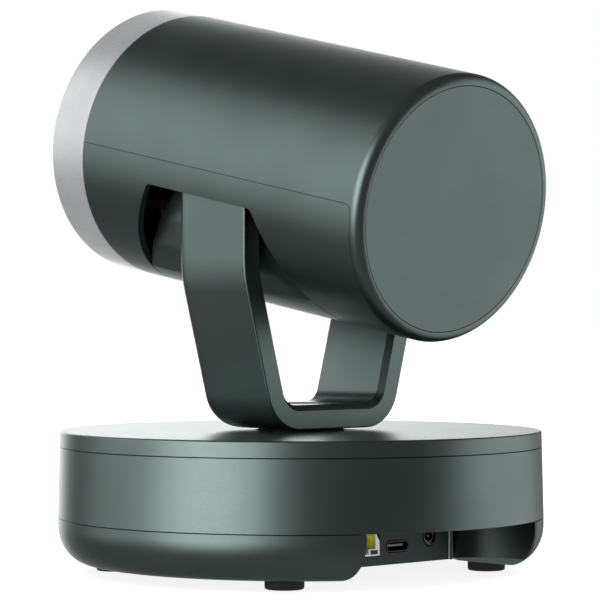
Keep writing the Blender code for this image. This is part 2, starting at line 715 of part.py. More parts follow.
def head_housings():
    front = RING_SEAM - GAP / 2
    upper = turned("head_upper_housing", housing_profile(front), "green_shell", HEAD_STEPS,
                   parent=HEAD_AXIS)
    cut(upper, side_prism("upper_cutter", lower_region(-GAP / 2), -BIG, BIG, None))
    lower = turned("head_lower_housing", housing_profile(front), "green_shell", HEAD_STEPS,
                   parent=HEAD_AXIS)
    combine(lower, side_prism("lower_region", lower_region(GAP / 2), -BIG, BIG, None),
            "INTERSECT")
    cut(lower, side_prism("slot_cutter", slot_outline(0, SLOT_TOP), -BIG, BIG, None))


def insert_section(inset):
    """Cross-section of the belly insert: upright flats beside the arms, then a
    bulge that meets the round belly."""
    half = [(INSERT_HALF, 0), (INSERT_HALF, -18), (25.3, -28), (20.3, -36), (14, -60)]
    radii = [0, 14, 12, 6, 0]
    points = fillet(half, radii, 3, closed=False)
    return mirrored(offset_path(points, -inset))


def belly_insert():
    outer = prism("belly_insert", insert_section(0), -48, 48, "green_shell", parent=HEAD_AXIS)
    cone = [(0, 60), (head_radius(60), 60), (head_radius(-60), -60), (0, -60)]
    hollow = [(r - HOUSING_WALL if r else 0, z * 1.05) for r, z in cone]
    combine(outer, turned("belly_cone", cone, None, HEAD_STEPS, parent=HEAD_AXIS), "INTERSECT")
    combine(outer, side_prism("belly_fan", slot_outline(GAP, INSERT_TOP), -BIG, BIG, None),
            "INTERSECT")
    inner = prism("belly_hollow", insert_section(INSERT_WALL), -70, 70, None, parent=HEAD_AXIS)
    combine(inner, turned("belly_hollow_cone", hollow, None, HEAD_STEPS, parent=HEAD_AXIS),
            "INTERSECT")
    cut(outer, inner)


def head_ends():
    inside = HEAD_REAR + CAP_THICK
    turned("rear_cap", [
        (0, inside), (30.5, inside), (30.5, inside + 3), (32.5, inside + 3), (32.5, inside),
        (CAP_RADIUS, inside), (CAP_RADIUS, HEAD_REAR), (0, HEAD_REAR),
    ], "green_shell", HEAD_STEPS, parent=HEAD_AXIS)
    rear = RING_SEAM + GAP / 2
    inner = HEAD_FRONT_RADIUS - 2.2
    turned("front_ring", [
        (inner, HEAD_FRONT), (HEAD_FRONT_RADIUS - 0.8, HEAD_FRONT),
        (HEAD_FRONT_RADIUS - 0.2, HEAD_FRONT - 0.25), (HEAD_FRONT_RADIUS, HEAD_FRONT - 0.8),
        (head_radius(rear), rear), (inner, rear),
    ], "satin_silver", HEAD_STEPS, parent=HEAD_AXIS)
    edge = inner - GAP
    turned("front_bezel", [
        (19.6, 64.2), (edge - 1.2, 67.4), (edge, 67.0), (edge, 63.6), (19.6, 61.9),
    ], "gloss_black", HEAD_STEPS, parent=HEAD_AXIS)
    disc("front_glass", 19.2, 62.2, 63.6, "lens_glass", parent=HEAD_AXIS, steps=MEDIUM_STEPS)


def head_frame():
    low, high = FRAME_UP
    frame = box("head_frame", (-FRAME_HALF, low, FRAME_REAR), (FRAME_HALF, high, FRAME_FRONT),
                "aluminium", parent=HEAD_AXIS)
    cut(
        frame,
        box("frame_cutter", (-FRAME_HALF + FRAME_WALL, low - 5, FRAME_REAR + FRAME_WALL),
            (FRAME_HALF - FRAME_WALL, high + 5, FRAME_FRONT - FRAME_WALL), None,
            parent=HEAD_AXIS),
        disc("light_cutter", 9.0, 0, 60, None, parent=HEAD_AXIS),
        disc("bush_cutter", BUSH_RADIUS + GAP, -BIG, BIG, None, parent=HEAD_AXIS,
             rotation=(0, 90, 0)),
    )
    inner = FRAME_HALF - FRAME_WALL + 0.1
    outer = FRAME_HALF + 1.3
    for side, turn in (("left", 90), ("right", -90)):
        profile = [
            (PIN_RADIUS + PIN_CLEARANCE, outer), (BUSH_RADIUS + 1, outer),
            (BUSH_RADIUS + 1, FRAME_HALF + GAP), (BUSH_RADIUS, FRAME_HALF + GAP),
            (BUSH_RADIUS, inner), (PIN_RADIUS + PIN_CLEARANCE, inner),
        ]
        turned("tilt_bush_" + side, profile, "brass", parent=HEAD_AXIS, rotation=(0, turn, 0))


def tilt_drive():
    at = (0, TILT_MOTOR_UP, -TILT_MOTOR_BACK)
    low, high = TILT_PULLEY_X
    face = high + 0.9
    spin = axis_empty("tilt_motor_axis", at, (0, 90, 0), parent=HEAD_AXIS)
    turned("tilt_motor", [
        (0, 6), (TILT_MOTOR_RADIUS, 6), (TILT_MOTOR_RADIUS, face), (1.5, face),
        (1.5, face + 6), (0, face + 6),
    ], "steel", parent=spin)
    turned("tilt_motor_pulley", [
        (0, face + 5), (1.2, face + 5), (1.2, high), (TILT_MOTOR_PULLEY_RADIUS, high),
        (TILT_MOTOR_PULLEY_RADIUS, low), (0, low),
    ], "aluminium", parent=spin)
    belt("tilt_belt", (0, 0), TILT_PULLEY_RADIUS + GAP, (TILT_MOTOR_BACK, TILT_MOTOR_UP),
         TILT_MOTOR_PULLEY_RADIUS + GAP, low + 0.5, high - 0.5, "rubber",
         parent=HEAD_AXIS, location=(0, 0, 0), rotation=(0, 90, 0))


def head_boards():
    box("sensor_board", (-16, -13, 19.4), (16, 16, 20.6), "circuit_green", parent=HEAD_AXIS)
    box("image_sensor", (-6.5, -5, 20.9), (6.5, 5, 22.6), "gloss_black", parent=HEAD_AXIS)
    prism("sensor_heat_sink", comb(22.0, 1.8, 8.0, 6, 1.4), -11, 11, "aluminium",
          parent=HEAD_AXIS, location=(0, 0, 19.1), rotation=(-90, 0, 0))
    box("video_board", (-24, -22, -37.6), (24, 22, -36.2), "circuit_green", parent=HEAD_AXIS)


def lens_element(name, radius, low, high, front_bulge, rear_bulge, parent):
    """A round element whose faces bulge out as circular arcs."""
    def dome(bulge, base, sign, count=3):
        sphere = (radius ** 2 + bulge ** 2) / (2 * bulge)
        points = []
        for step in range(count + 1):
            out = radius * step / count
            points.append((out, base + sign * (math.sqrt(sphere ** 2 - out ** 2) - sphere + bulge)))
        return points

    front = dome(front_bulge, high, 1)
    rear = dome(rear_bulge, low, -1)
    turned(name, front + rear[::-1], "lens_glass", SMALL_STEPS, parent=parent)


def carrier(name, rear, length, bore, axis_name):
    """A lens holder that slides on the guide rods."""
    axis = axis_empty(axis_name, (0, 0, 0), parent=HEAD_AXIS)
    holder = ring(name, bore + GAP, CARRIER_RADIUS, rear, rear + length, "black_plastic",
                  parent=axis, steps=MEDIUM_STEPS)
    for side in (-1, 1):
        notch = disc(f"{name}_notch_{side + 1}", ROD_RADIUS + 0.4, 0, 70, None, steps=TINY_STEPS,
                     parent=axis, location=(side * ROD_OFFSET, 0, 0))
        cut(holder, notch)
    lens = name.replace("carrier", "lens")
    middle = rear + length / 2
    lens_element(lens, bore, middle - 0.8, middle + 0.8, 1.0, 0.8, axis)


def lens():
    turned("lens_barrel", [
        (16.0, BARREL_FRONT), (BARREL_RADIUS, BARREL_FRONT), (BARREL_RADIUS, BARREL_REAR + 2.4),
        (22.0, BARREL_REAR + 2.4), (22.0, BARREL_REAR), (BARREL_BORE - 4, BARREL_REAR),
        (BARREL_BORE - 4, BARREL_REAR + 1.2), (BARREL_BORE, BARREL_REAR + 1.2),
        (BARREL_BORE, BARREL_FRONT - 4), (16.0, BARREL_FRONT - 4),
    ], "black_plastic", MEDIUM_STEPS, parent=HEAD_AXIS)
    lens_element("front_lens", 15.6, BARREL_FRONT - 3.4, BARREL_FRONT - 2.0, 1.8, 0.6, HEAD_AXIS)
    for side, sign in (("left", 1), ("right", -1)):
        disc("guide_rod_" + side, ROD_RADIUS, BARREL_REAR + 1.5, BARREL_FRONT - 5.2, "steel",
             steps=TINY_STEPS, parent=HEAD_AXIS, location=(sign * ROD_OFFSET, 0, 0))
    carrier("zoom_carrier", ZOOM_REAR, ZOOM_LENGTH, 11.0, "zoom_axis")
    carrier("focus_carrier", FOCUS_REAR, FOCUS_LENGTH, 9.0, "focus_axis")


base_shells()
socket_panel()
network_socket()
usb_socket()
power_socket()
base_inside()
pan_drive()
yoke()
tilt_pins()
head_housings()
belly_insert()
head_ends()
head_frame()
tilt_drive()
head_boards()
lens()
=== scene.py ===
"""Looks of the pan-tilt-zoom camera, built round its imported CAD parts.

Lengths are in millimetres until the helpers turn them into metres. The lens
looks towards -Y, the sockets are at +Y and the origin is on the pan axis.
"""

import json
import math

import bmesh
import bpy
from mathutils import Matrix, Vector


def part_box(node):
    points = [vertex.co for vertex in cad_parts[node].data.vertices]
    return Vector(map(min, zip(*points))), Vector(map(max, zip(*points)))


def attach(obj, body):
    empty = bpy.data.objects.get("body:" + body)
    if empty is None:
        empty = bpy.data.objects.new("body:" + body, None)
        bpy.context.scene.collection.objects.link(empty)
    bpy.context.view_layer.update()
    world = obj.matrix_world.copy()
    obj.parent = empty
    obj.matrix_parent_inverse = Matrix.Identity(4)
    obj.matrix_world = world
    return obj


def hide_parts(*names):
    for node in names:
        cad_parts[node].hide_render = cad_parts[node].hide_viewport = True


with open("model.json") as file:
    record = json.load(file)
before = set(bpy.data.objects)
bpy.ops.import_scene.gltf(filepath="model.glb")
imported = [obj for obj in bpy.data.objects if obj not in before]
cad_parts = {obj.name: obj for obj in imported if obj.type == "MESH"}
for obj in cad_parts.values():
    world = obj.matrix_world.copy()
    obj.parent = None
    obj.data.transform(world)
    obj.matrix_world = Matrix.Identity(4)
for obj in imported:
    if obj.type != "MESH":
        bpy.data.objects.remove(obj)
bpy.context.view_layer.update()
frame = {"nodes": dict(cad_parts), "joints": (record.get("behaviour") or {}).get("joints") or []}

MM = 0.001
GAP = 0.3                       # clearance between neighbouring pieces
SEAM = 0.07                     # half of the fine line between two shells
BIG = 90.0                      # reach of a cutter that passes right through
STEPS = 256                     # sides of the large turned pieces
FINE = 96
SMALL = 48
SHARP = 32.0                    # edges that bend by more than this stay crisp, in degrees


def low_high(node):
    """A CAD node's corners in millimetres."""
    low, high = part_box(node)
    return [value / MM for value in low], [value / MM for value in high]


JOINTS = {joint["name"]: joint for joint in frame["joints"]}
TILT_Z = JOINTS["tilt"]["pos_m"][2] / MM
AXIS = Vector(JOINTS["zoom"]["axis"])
REST_TILT = math.degrees(math.asin(AXIS.z))

# Base
BASE_LOW, BASE_HIGH = low_high("base_bottom_shell")
BASE_RADIUS = BASE_HIGH[0]
UNDERSIDE_Z = BASE_LOW[2]       # rim of the bottom shell above the ground
BASE_TOP_Z = low_high("base_top_cover")[1][2]
BASE_TOP_RADIUS = BASE_RADIUS - 0.6
BASE_TOP_ROUNDING = 0.6
ROUND_WIDE = 9.5                # rounding of the bottom shell, seen from the side
ROUND_TALL = 11.5
RIM_INNER_RADIUS = 45.0         # inside the rim, the underside is raised
RIM_SLOPE = ((2.0, 0.0), (0.6, 0.5))    # its inner side: outwards from there, and up
FLOOR_Z = 5.0
FLOOR_THICK = 1.3
TRIPOD_HOLE = 7.0
TRIPOD_EDGE = 0.3
SEAM_LOW_Z = BASE_HIGH[2] + GAP / 2
SEAM_HIGH_Z = low_high("base_middle_ring")[1][2] + GAP / 2
BASE_WALL = 1.3
RING_WALL = 2.2
COVER_THICK = 2.1
EDGE = 0.1                      # rounding of the shells' visible rims
BELOW_Z = -5.0                  # a level under the whole object
OVER_SHELL_Z = 20.0             # a level above the bottom shell
CHANNEL_Y = 20.0                # the underside is open behind this, for cables

# Socket recess
RECESS_HALF = 34.5
PANEL_Y = 44.7
PANEL_THICK = 1.8
PANEL_LOW_Z = FLOOR_Z + 0.1
PANEL_TOP_Z = 25.0
PANEL_RIB_X = -18.8             # the flat panel ends here, beside a finger scoop
PANEL_END_X = 30.0
PANEL_CURVE = 11.0              # bend of the finger scoop
SCOOP_WALL = 1.4
RIB_RADIUS = 1.0
FLUSH = 0.05                    # how far the scoop's lip stays within the bottom shell
HIDDEN = 1.9                    # how far the other end of the panel stays within it
SOCKET_CUT = 5.0                # half-length of the cutters for the small sockets

NETWORK_X = 19.0
NETWORK_Z = 8.0
NETWORK_HALF = 8.0
NETWORK_TALL = 13.5
NETWORK_DEEP = 15.0
CONTACTS = 8
CONTACT_STEP = 1.02
CONTACT_WIDE = 0.5
USB_X = 3.5
USB_Z = 10.2
USB_SIZE = (8.9, 3.1)
POWER_X = -10.0
POWER_Z = 12.4
POWER_RADIUS = 2.8

# Feet and base screws
FOOT_RADIUS = 5.6
FOOT_CIRCLE = 55.6
FOOT_ANGLE = 42.4               # from the X axis
FOOT_TOP_Z = 3.3
FOOT_ROUNDING = 0.7
SCREW_CIRCLE = 56.0
SCREW_ANGLES = (0.0, 180.0, 270.0)
SCREW_HOLE = 1.9
SCREW_PILOT = 1.8
SCREW_SINK = 3.5                # radius of the hole that the screw's head sits in
SCREW_SEAT_Z = 4.5
POST_RADIUS = 4.0
POST_LOW_Z = 6.8
THREAD_TURNS = 12
THREAD_STEP = 0.6

# Spindle and its bearing
SPINDLE_RADIUS = 10.0
SPINDLE_BORE = 6.5
SPINDLE_END_Z = 15.5
PEDESTAL_RADIUS = 13.0
PEDESTAL_THICK = 1.0
BEARING_RADIUS = 16.0
BEARING_Z = (30.0, 37.0)
SPINDLE_PLAY = 0.8              # between the spindle and the cover
BOSS_WALL = 2.2
WELL_EDGE = 0.15

# Yoke
YOKE_LOW, YOKE_HIGH = low_high("yoke_bracket")
YOKE_BOTTOM_Z = YOKE_LOW[2]
ARM_OUTER_X = YOKE_HIGH[0]
YOKE_WIDTH = YOKE_HIGH[1] - YOKE_LOW[1]
YOKE_THICK = 7.25
YOKE_EDGE = 0.5                 # rounding of the bar's outer edge on the socket side
YOKE_CROWN = (4.4, 1.45)        # how the outer face falls away on the lens side: across, deep
YOKE_CHAMFER = 1.7              # the bar's inner edges
ARM_BEND_Z = 88.1               # the leaning arms turn upright here
YOKE_CORNER_X = 23.6            # where the lines of an arm and of the bottom meet
ARM_BEND_RADIUS = 40.0
YOKE_CORNER_RADIUS = 13.0
YOKE_INNER_RADIUS = 5.0
ARM_CHAMFER = (2.4, 6.0)        # slope of the arm tops: across, and its start over the pin
PIN_RADIUS = 3.5

# Along the head's own axis: 0 is the tilt axis, and forward is positive
HEAD_REAR = -65.84
HEAD_FRONT = 68.55
HEAD_REAR_RADIUS = 38.64
HEAD_FRONT_RADIUS = 41.47
REAR_FILLET = 3.0
HOUSING_WALL = 1.8
RING_SEAM = 53.46
RING_WIDE = 2.2
RING_ROUNDING = 0.8
CAP_RADIUS = 35.25
CAP_THICK = 2.0
CAP_RIB = (30.5, 32.5, 3.0)     # ring on the cap's inside: its radii and height
SEAM_CORNER = 2.5
SLOT_TOP = -8.0                 # the arm slots, in the head's side view
SLOT_REAR = 15.1
SLOT_FRONT = 16.2
SLOT_LEAN = 30.0
SLOT_CORNER = 2.3
INSERT_HALF = 28.0
INSERT_WALL = 1.3
INSERT_TOP = -6.5
INSERT_REACH = 60.0             # half-length of the cone that trims the insert
BARREL_RADIUS = 18.0
BARREL_BORE = 16.2
BARREL_NOSE = 16.0              # the bore in front of the lens, with shallow rings
BARREL_REAR = 26.6
BARREL_FRONT = 61.5
BARREL_RINGS = 5
FLANGE_RADII = (22.0, 21.0)     # rear and front flange of the barrel
ELEMENT_RADIUS = 15.6
ELEMENT_BULGE = 1.8
ELEMENT_STEPS = 24

ROW = Matrix.Identity(4)
HEAD = (
    Matrix.Translation((0, 0, TILT_Z * MM))
    @ Matrix.Rotation(math.radians(90 - REST_TILT), 4, "X")
)


# ------------------------------------------------------------------ materials

class Nodes:
    """A material's node tree, with short calls for the nodes used here."""

    def __init__(self, name):
        self.material = bpy.data.materials.new(name)
        self.material.use_nodes = True
        self.tree = self.material.node_tree
        self.shader = self.tree.nodes["Principled BSDF"]
        self.place = self.add("ShaderNodeTexCoord").outputs["Object"]

    def add(self, kind, **settings):
        node = self.tree.nodes.new(kind)
        for key, value in settings.items():
            setattr(node, key, value)
        return node

    def link(self, source, target):
        self.tree.links.new(source, target)

    def noise(self, scale, detail=2.0, stretch=(1.0, 1.0, 1.0)):
        """Noise with `scale` cells in a metre, drawn out where stretch is small."""
        mapping = self.add("ShaderNodeMapping")
        mapping.inputs["Scale"].default_value = stretch
        self.link(self.place, mapping.inputs["Vector"])
        texture = self.add("ShaderNodeTexNoise")
        texture.inputs["Scale"].default_value = scale
        texture.inputs["Detail"].default_value = detail
        self.link(mapping.outputs["Vector"], texture.inputs["Vector"])
        return texture.outputs["Fac"]

    def vary(self, value, low, high):
        """Spreads a 0.3 to 0.7 noise value over low to high."""
        spread = self.add("ShaderNodeMapRange")
        spread.inputs["From Min"].default_value = 0.3
        spread.inputs["From Max"].default_value = 0.7
        spread.inputs["To Min"].default_value = low
        spread.inputs["To Max"].default_value = high
        self.link(value, spread.inputs["Value"])
        return spread.outputs["Result"]

    def colours(self, value, first, second):
        ramp = self.add("ShaderNodeValToRGB")
        ramp.color_ramp.elements[0].position = 0.3
        ramp.color_ramp.elements[1].position = 0.7
        ramp.color_ramp.elements[0].color = (*first, 1.0)
        ramp.color_ramp.elements[1].color = (*second, 1.0)
        self.link(value, ramp.inputs["Fac"])
        self.link(ramp.outputs["Color"], self.shader.inputs["Base Color"])

    def rough(self, value, low, high):
        self.link(self.vary(value, low, high), self.shader.inputs["Roughness"])

    def bump(self, value, depth):
        """Relief whose height is depth millimetres."""
        relief = self.add("ShaderNodeBump")
        relief.inputs["Strength"].default_value = 1.0
        relief.inputs["Distance"].default_value = depth * MM
        self.link(value, relief.inputs["Height"])
        self.link(relief.outputs["Normal"], self.shader.inputs["Normal"])

    def set(self, **sockets):
        for name, value in sockets.items():
            self.shader.inputs[name.replace("_", " ")].default_value = value
        return self.material


def blended(colour, share):
    """The colour made darker or lighter: a share of 1 leaves it alone."""
    return tuple(channel * share for channel in colour)


def plastic(name, colour, roughness, metallic=0.0, grain=0.006, cells=1700.0, mottling=0.06):
    """A moulded or painted shell with a fine eroded texture and faint mottling."""
    nodes = Nodes(name)
    nodes.colours(nodes.noise(45.0), blended(colour, 1 - mottling), blended(colour, 1 + mottling))
    fine = nodes.noise(cells, 3.0)
    nodes.rough(fine, roughness - 0.03, roughness + 0.03)
    nodes.bump(fine, grain)
    return nodes.set(Metallic=metallic)


def metal(name, colour, roughness, stretch=(1.0, 1.0, 1.0), grain=0.004, metallic=1.0):
    """Metal whose fine scratches run along the axis where stretch is small."""
    nodes = Nodes(name)
    lines = nodes.noise(2600.0, 2.0, stretch)
    nodes.colours(nodes.noise(80.0), blended(colour, 0.93), blended(colour, 1.05))
    nodes.rough(lines, roughness - 0.06, roughness + 0.06)
    nodes.bump(lines, grain)
    return nodes.set(Metallic=metallic)


def glass(name, tint, transmission, coat):
    nodes = Nodes(name)
    nodes.colours(nodes.noise(60.0), blended(tint, 0.97), tint)
    nodes.rough(nodes.noise(900.0), 0.0, 0.02)
    return nodes.set(Transmission_Weight=transmission, IOR=1.5, Coat_Weight=coat,
                     Coat_Tint=(0.55, 0.75, 1.0, 1.0))


def board(name):
    """Solder mask with copper tracks that show through it as a lighter green."""
    nodes = Nodes(name)
    tracks = nodes.add("ShaderNodeTexBrick", offset=0.35)
    tracks.inputs["Scale"].default_value = 260.0
    tracks.inputs["Mortar Size"].default_value = 0.06
    tracks.inputs["Color1"].default_value = (0.010, 0.085, 0.038, 1.0)
    tracks.inputs["Color2"].default_value = (0.012, 0.100, 0.045, 1.0)
    tracks.inputs["Mortar"].default_value = (0.030, 0.180, 0.085, 1.0)
    nodes.link(nodes.place, tracks.inputs["Vector"])
    nodes.link(tracks.outputs["Color"], nodes.shader.inputs["Base Color"])
    nodes.rough(nodes.noise(700.0), 0.32, 0.42)
    nodes.bump(tracks.outputs["Fac"], 0.02)
    return nodes.set(Coat_Weight=0.4)


GREEN = (0.268, 0.340, 0.322)
MATERIAL = {
    "green_shell": plastic("green_shell", GREEN, 0.34, metallic=1.0, grain=0.0022),
    # A darker copy of the green shell: painted shade for the socket recess and for the inside of
    # the arm slots
    "painted_shade_shell": plastic("painted_shade_shell", blended(GREEN, 0.30), 0.42, metallic=1.0, grain=0.003),
    "dark_shell": plastic("dark_shell", (0.020, 0.025, 0.023), 0.45, metallic=0.3),
    "satin_silver": metal("satin_silver", (0.93, 0.95, 0.97), 0.32, grain=0.0015, metallic=0.78),
    "gloss_black": plastic("gloss_black", (0.008, 0.008, 0.009), 0.09, grain=0.0006),
    "lens_glass": glass("lens_glass", (0.92, 0.95, 1.0), 1.0, 0.0),
    "rubber": plastic("rubber", (0.014, 0.014, 0.014), 0.75, grain=0.02, cells=1200.0),
    "steel": metal("steel", (0.50, 0.51, 0.53), 0.32, (1.0, 1.0, 0.1)),
    "brass": metal("brass", (0.66, 0.48, 0.19), 0.30, (1.0, 1.0, 0.15)),
    "aluminium": metal("aluminium", (0.66, 0.67, 0.68), 0.38, (0.1, 1.0, 1.0)),
    "circuit_green": board("circuit_green"),
    "contact_gold": metal("contact_gold", (0.62, 0.50, 0.10), 0.30),
    "black_plastic": plastic("black_plastic", (0.012, 0.012, 0.012), 0.50, grain=0.008),
}
# Finishes of single pieces whose slot has another look
COATED = glass("coated_lens", (0.10, 0.07, 0.16), 0.0, 1.0)
TONGUE = plastic("tongue_plastic", (0.16, 0.17, 0.18), 0.40)
OLIVE = metal("jack_inside", (0.95, 0.90, 0.06), 0.42, metallic=0.20)
BLACK_CHROME = metal("black_chrome", (0.10, 0.10, 0.11), 0.25)


# ------------------------------------------------------------------ outlines

def arc(centre, radii, start, end, count):
    """Points of an arc or of part of an ellipse, from start to end in degrees."""
    wide, tall = radii if isinstance(radii, tuple) else (radii, radii)
    points = []
    for step in range(count + 1):
        angle = math.radians(start + (end - start) * step / count)
        points.append((centre[0] + wide * math.cos(angle), centre[1] + tall * math.sin(angle)))
    return points


def unit(start, end):
    across = (end[0] - start[0], end[1] - start[1])
    length = math.hypot(*across)
    return across[0] / length, across[1] / length


def fillet(points, radii, count, closed=True):
    """Rounds each corner of a polygon with its own radius; 0 keeps the corner."""
    rounded = []
    total = len(points)
    for index, corner in enumerate(points):
        radius = radii[index]
        if radius <= 0 or (not closed and index in (0, total - 1)):
            rounded.append(corner)
            continue
        first = unit(corner, points[index - 1])
        second = unit(corner, points[(index + 1) % total])
        cosine = first[0] * second[0] + first[1] * second[1]
        half = math.acos(max(-1.0, min(1.0, cosine))) / 2
        tangent = radius / math.tan(half)
        middle = (first[0] + second[0], first[1] + second[1])
        away = radius / math.sin(half) / math.hypot(*middle)
        centre = (corner[0] + middle[0] * away, corner[1] + middle[1] * away)
        ends = []
        for side in (first, second):
            touch = (corner[0] + side[0] * tangent, corner[1] + side[1] * tangent)
            ends.append(math.atan2(touch[1] - centre[1], touch[0] - centre[0]))
        sweep = (ends[1] - ends[0] + math.pi) % (2 * math.pi) - math.pi
        rounded += arc(centre, radius, math.degrees(ends[0]), math.degrees(ends[0] + sweep), count)
    return rounded


def offset_path(points, distance):
    """The open path moved sideways, to the left of its direction."""
    moved = []
    for index, point in enumerate(points):
        normals = []
        if index > 0:
            run = unit(points[index - 1], point)
            normals.append((-run[1], run[0]))
        if index < len(points) - 1:
            run = unit(point, points[index + 1])
            normals.append((-run[1], run[0]))
        across = [sum(n[axis] for n in normals) for axis in (0, 1)]
        scale = distance * len(normals) / (across[0] ** 2 + across[1] ** 2)
        moved.append((point[0] + across[0] * scale, point[1] + across[1] * scale))
    return moved


def mirrored(points):
    """A half outline at +X, followed by its mirror image back to the start."""
    return points + [(-x, y) for x, y in reversed(points)]


def rectangle(width, height):
    return [(-width / 2, -height / 2), (width / 2, -height / 2),
            (width / 2, height / 2), (-width / 2, height / 2)]


# ------------------------------------------------------------------ solids

def new_object(name, shape, place):
    """Makes an object of a bmesh, with its place written into the mesh."""
    bmesh.ops.recalc_face_normals(shape, faces=shape.faces)
    mesh = bpy.data.meshes.new(name)
    shape.to_mesh(mesh)
    shape.free()
    mesh.transform(place)
    thing = bpy.data.objects.new(name, mesh)
    bpy.context.scene.collection.objects.link(thing)
    return thing


def at(x, y, z, turn=0, axis="X", parent=ROW):
    """A place in millimetres, turned about one axis."""
    return (
        parent @ Matrix.Translation((x * MM, y * MM, z * MM))
        @ Matrix.Rotation(math.radians(turn), 4, axis)
    )


def turned(name, profile, steps=STEPS, place=ROW):
    """A solid turned about local Z. The profile is (radius, height) and runs down
    its outer side; it closes on itself unless it starts on the axis."""
    shape = bmesh.new()
    angles = [2 * math.pi * step / steps for step in range(steps)]
    rings = []
    for radius, height in profile:
        if radius == 0:
            rings.append([shape.verts.new((0, 0, height * MM))] * steps)
            continue
        rings.append([
            shape.verts.new((radius * MM * math.cos(a), radius * MM * math.sin(a), height * MM))
            for a in angles
        ])
    below = rings[1:] + (rings[:1] if profile[0][0] > 0 else [])
    for upper, lower in zip(rings, below):
        for step in range(steps):
            following = (step + 1) % steps
            loop = [upper[step], lower[step], lower[following], upper[following]]
            corners = [vert for index, vert in enumerate(loop) if vert not in loop[:index]]
            shape.faces.new(corners)
    return new_object(name, shape, place)


def disc(name, radius, low, high, steps=SMALL, place=ROW):
    return turned(name, [(0, high), (radius, high), (radius, low), (0, low)], steps, place)


def prism(name, outline, low, high, place=ROW):
    """An outline in the local XY plane, extruded along Z from low to high."""
    shape = bmesh.new()
    face = shape.faces.new([shape.verts.new((x * MM, y * MM, low * MM)) for x, y in outline])
    grown = bmesh.ops.extrude_face_region(shape, geom=[face])["geom"]
    rising = [item for item in grown if isinstance(item, bmesh.types.BMVert)]
    bmesh.ops.translate(shape, verts=rising, vec=(0, 0, (high - low) * MM))
    return new_object(name, shape, place)


def block(name, low, high, place=ROW):
    """A box between two corners."""
    corners = [(low[0], low[1]), (high[0], low[1]), (high[0], high[1]), (low[0], high[1])]
    return prism(name, corners, low[2], high[2], place)


def settle(thing):
    """Applies the modifiers of an object."""
    graph = bpy.context.evaluated_depsgraph_get()
    mesh = bpy.data.meshes.new_from_object(thing.evaluated_get(graph))
    before = thing.data
    thing.modifiers.clear()
    thing.data = mesh
    bpy.data.meshes.remove(before)
    return thing


def combine(thing, others, operation):
    for other in others:
        boolean = thing.modifiers.new("Combine", "BOOLEAN")
        boolean.operation = operation
        boolean.solver = "EXACT"
        boolean.object = other
    settle(thing)
    for other in others:
        bpy.data.objects.remove(other, do_unlink=True)
    return thing


def cut(thing, *others):
    return combine(thing, others, "DIFFERENCE")


def bevelled(thing, width, segments=3, angle=40.0):
    """Rounds the edges that bend by more than the angle."""
    bevel = thing.modifiers.new("Edges", "BEVEL")
    bevel.width = width * MM
    bevel.segments = segments
    bevel.limit_method = "ANGLE"
    bevel.angle_limit = math.radians(angle)
    bevel.use_clamp_overlap = True
    return settle(thing)


def finished(thing, body, slot, *nodes, material=None):
    """Shades a piece, gives it its material, parents it to its body and hides the CAD nodes that
    it replaces.
    """
    mesh = thing.data
    mesh.materials.clear()
    mesh.materials.append(material or MATERIAL[slot])
    shape = bmesh.new()
    shape.from_mesh(mesh)
    bmesh.ops.remove_doubles(shape, verts=shape.verts, dist=1e-7)
    for face in shape.faces:
        face.smooth = True
        face.material_index = 0
    for edge in shape.edges:
        edge.smooth = edge.calc_face_angle(math.pi) < math.radians(SHARP)
    shape.to_mesh(mesh)
    shape.free()
    weighted = thing.modifiers.new("Normals", "WEIGHTED_NORMAL")
    weighted.keep_sharp = True
    settle(thing)
    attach(thing, body)
    if nodes:
        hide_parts(*nodes)


def repaint(thing, material, chosen):
    """Gives a second material to the faces whose centre, in millimetres, is chosen."""
    thing.data.materials.append(material)
    for face in thing.data.polygons:
        if chosen(*(face.center / MM)):
            face.material_index = 1


# ------------------------------------------------------------------ base

def foot_places():
    across = FOOT_CIRCLE * math.cos(math.radians(FOOT_ANGLE))
    along = FOOT_CIRCLE * math.sin(math.radians(FOOT_ANGLE))
    return {
        "rear_left": (across, along), "rear_right": (-across, along),
        "front_left": (across, -along), "front_right": (-across, -along),
    }


def screw_places():
    return [
        (SCREW_CIRCLE * math.cos(math.radians(a)), SCREW_CIRCLE * math.sin(math.radians(a)))
        for a in SCREW_ANGLES
    ]


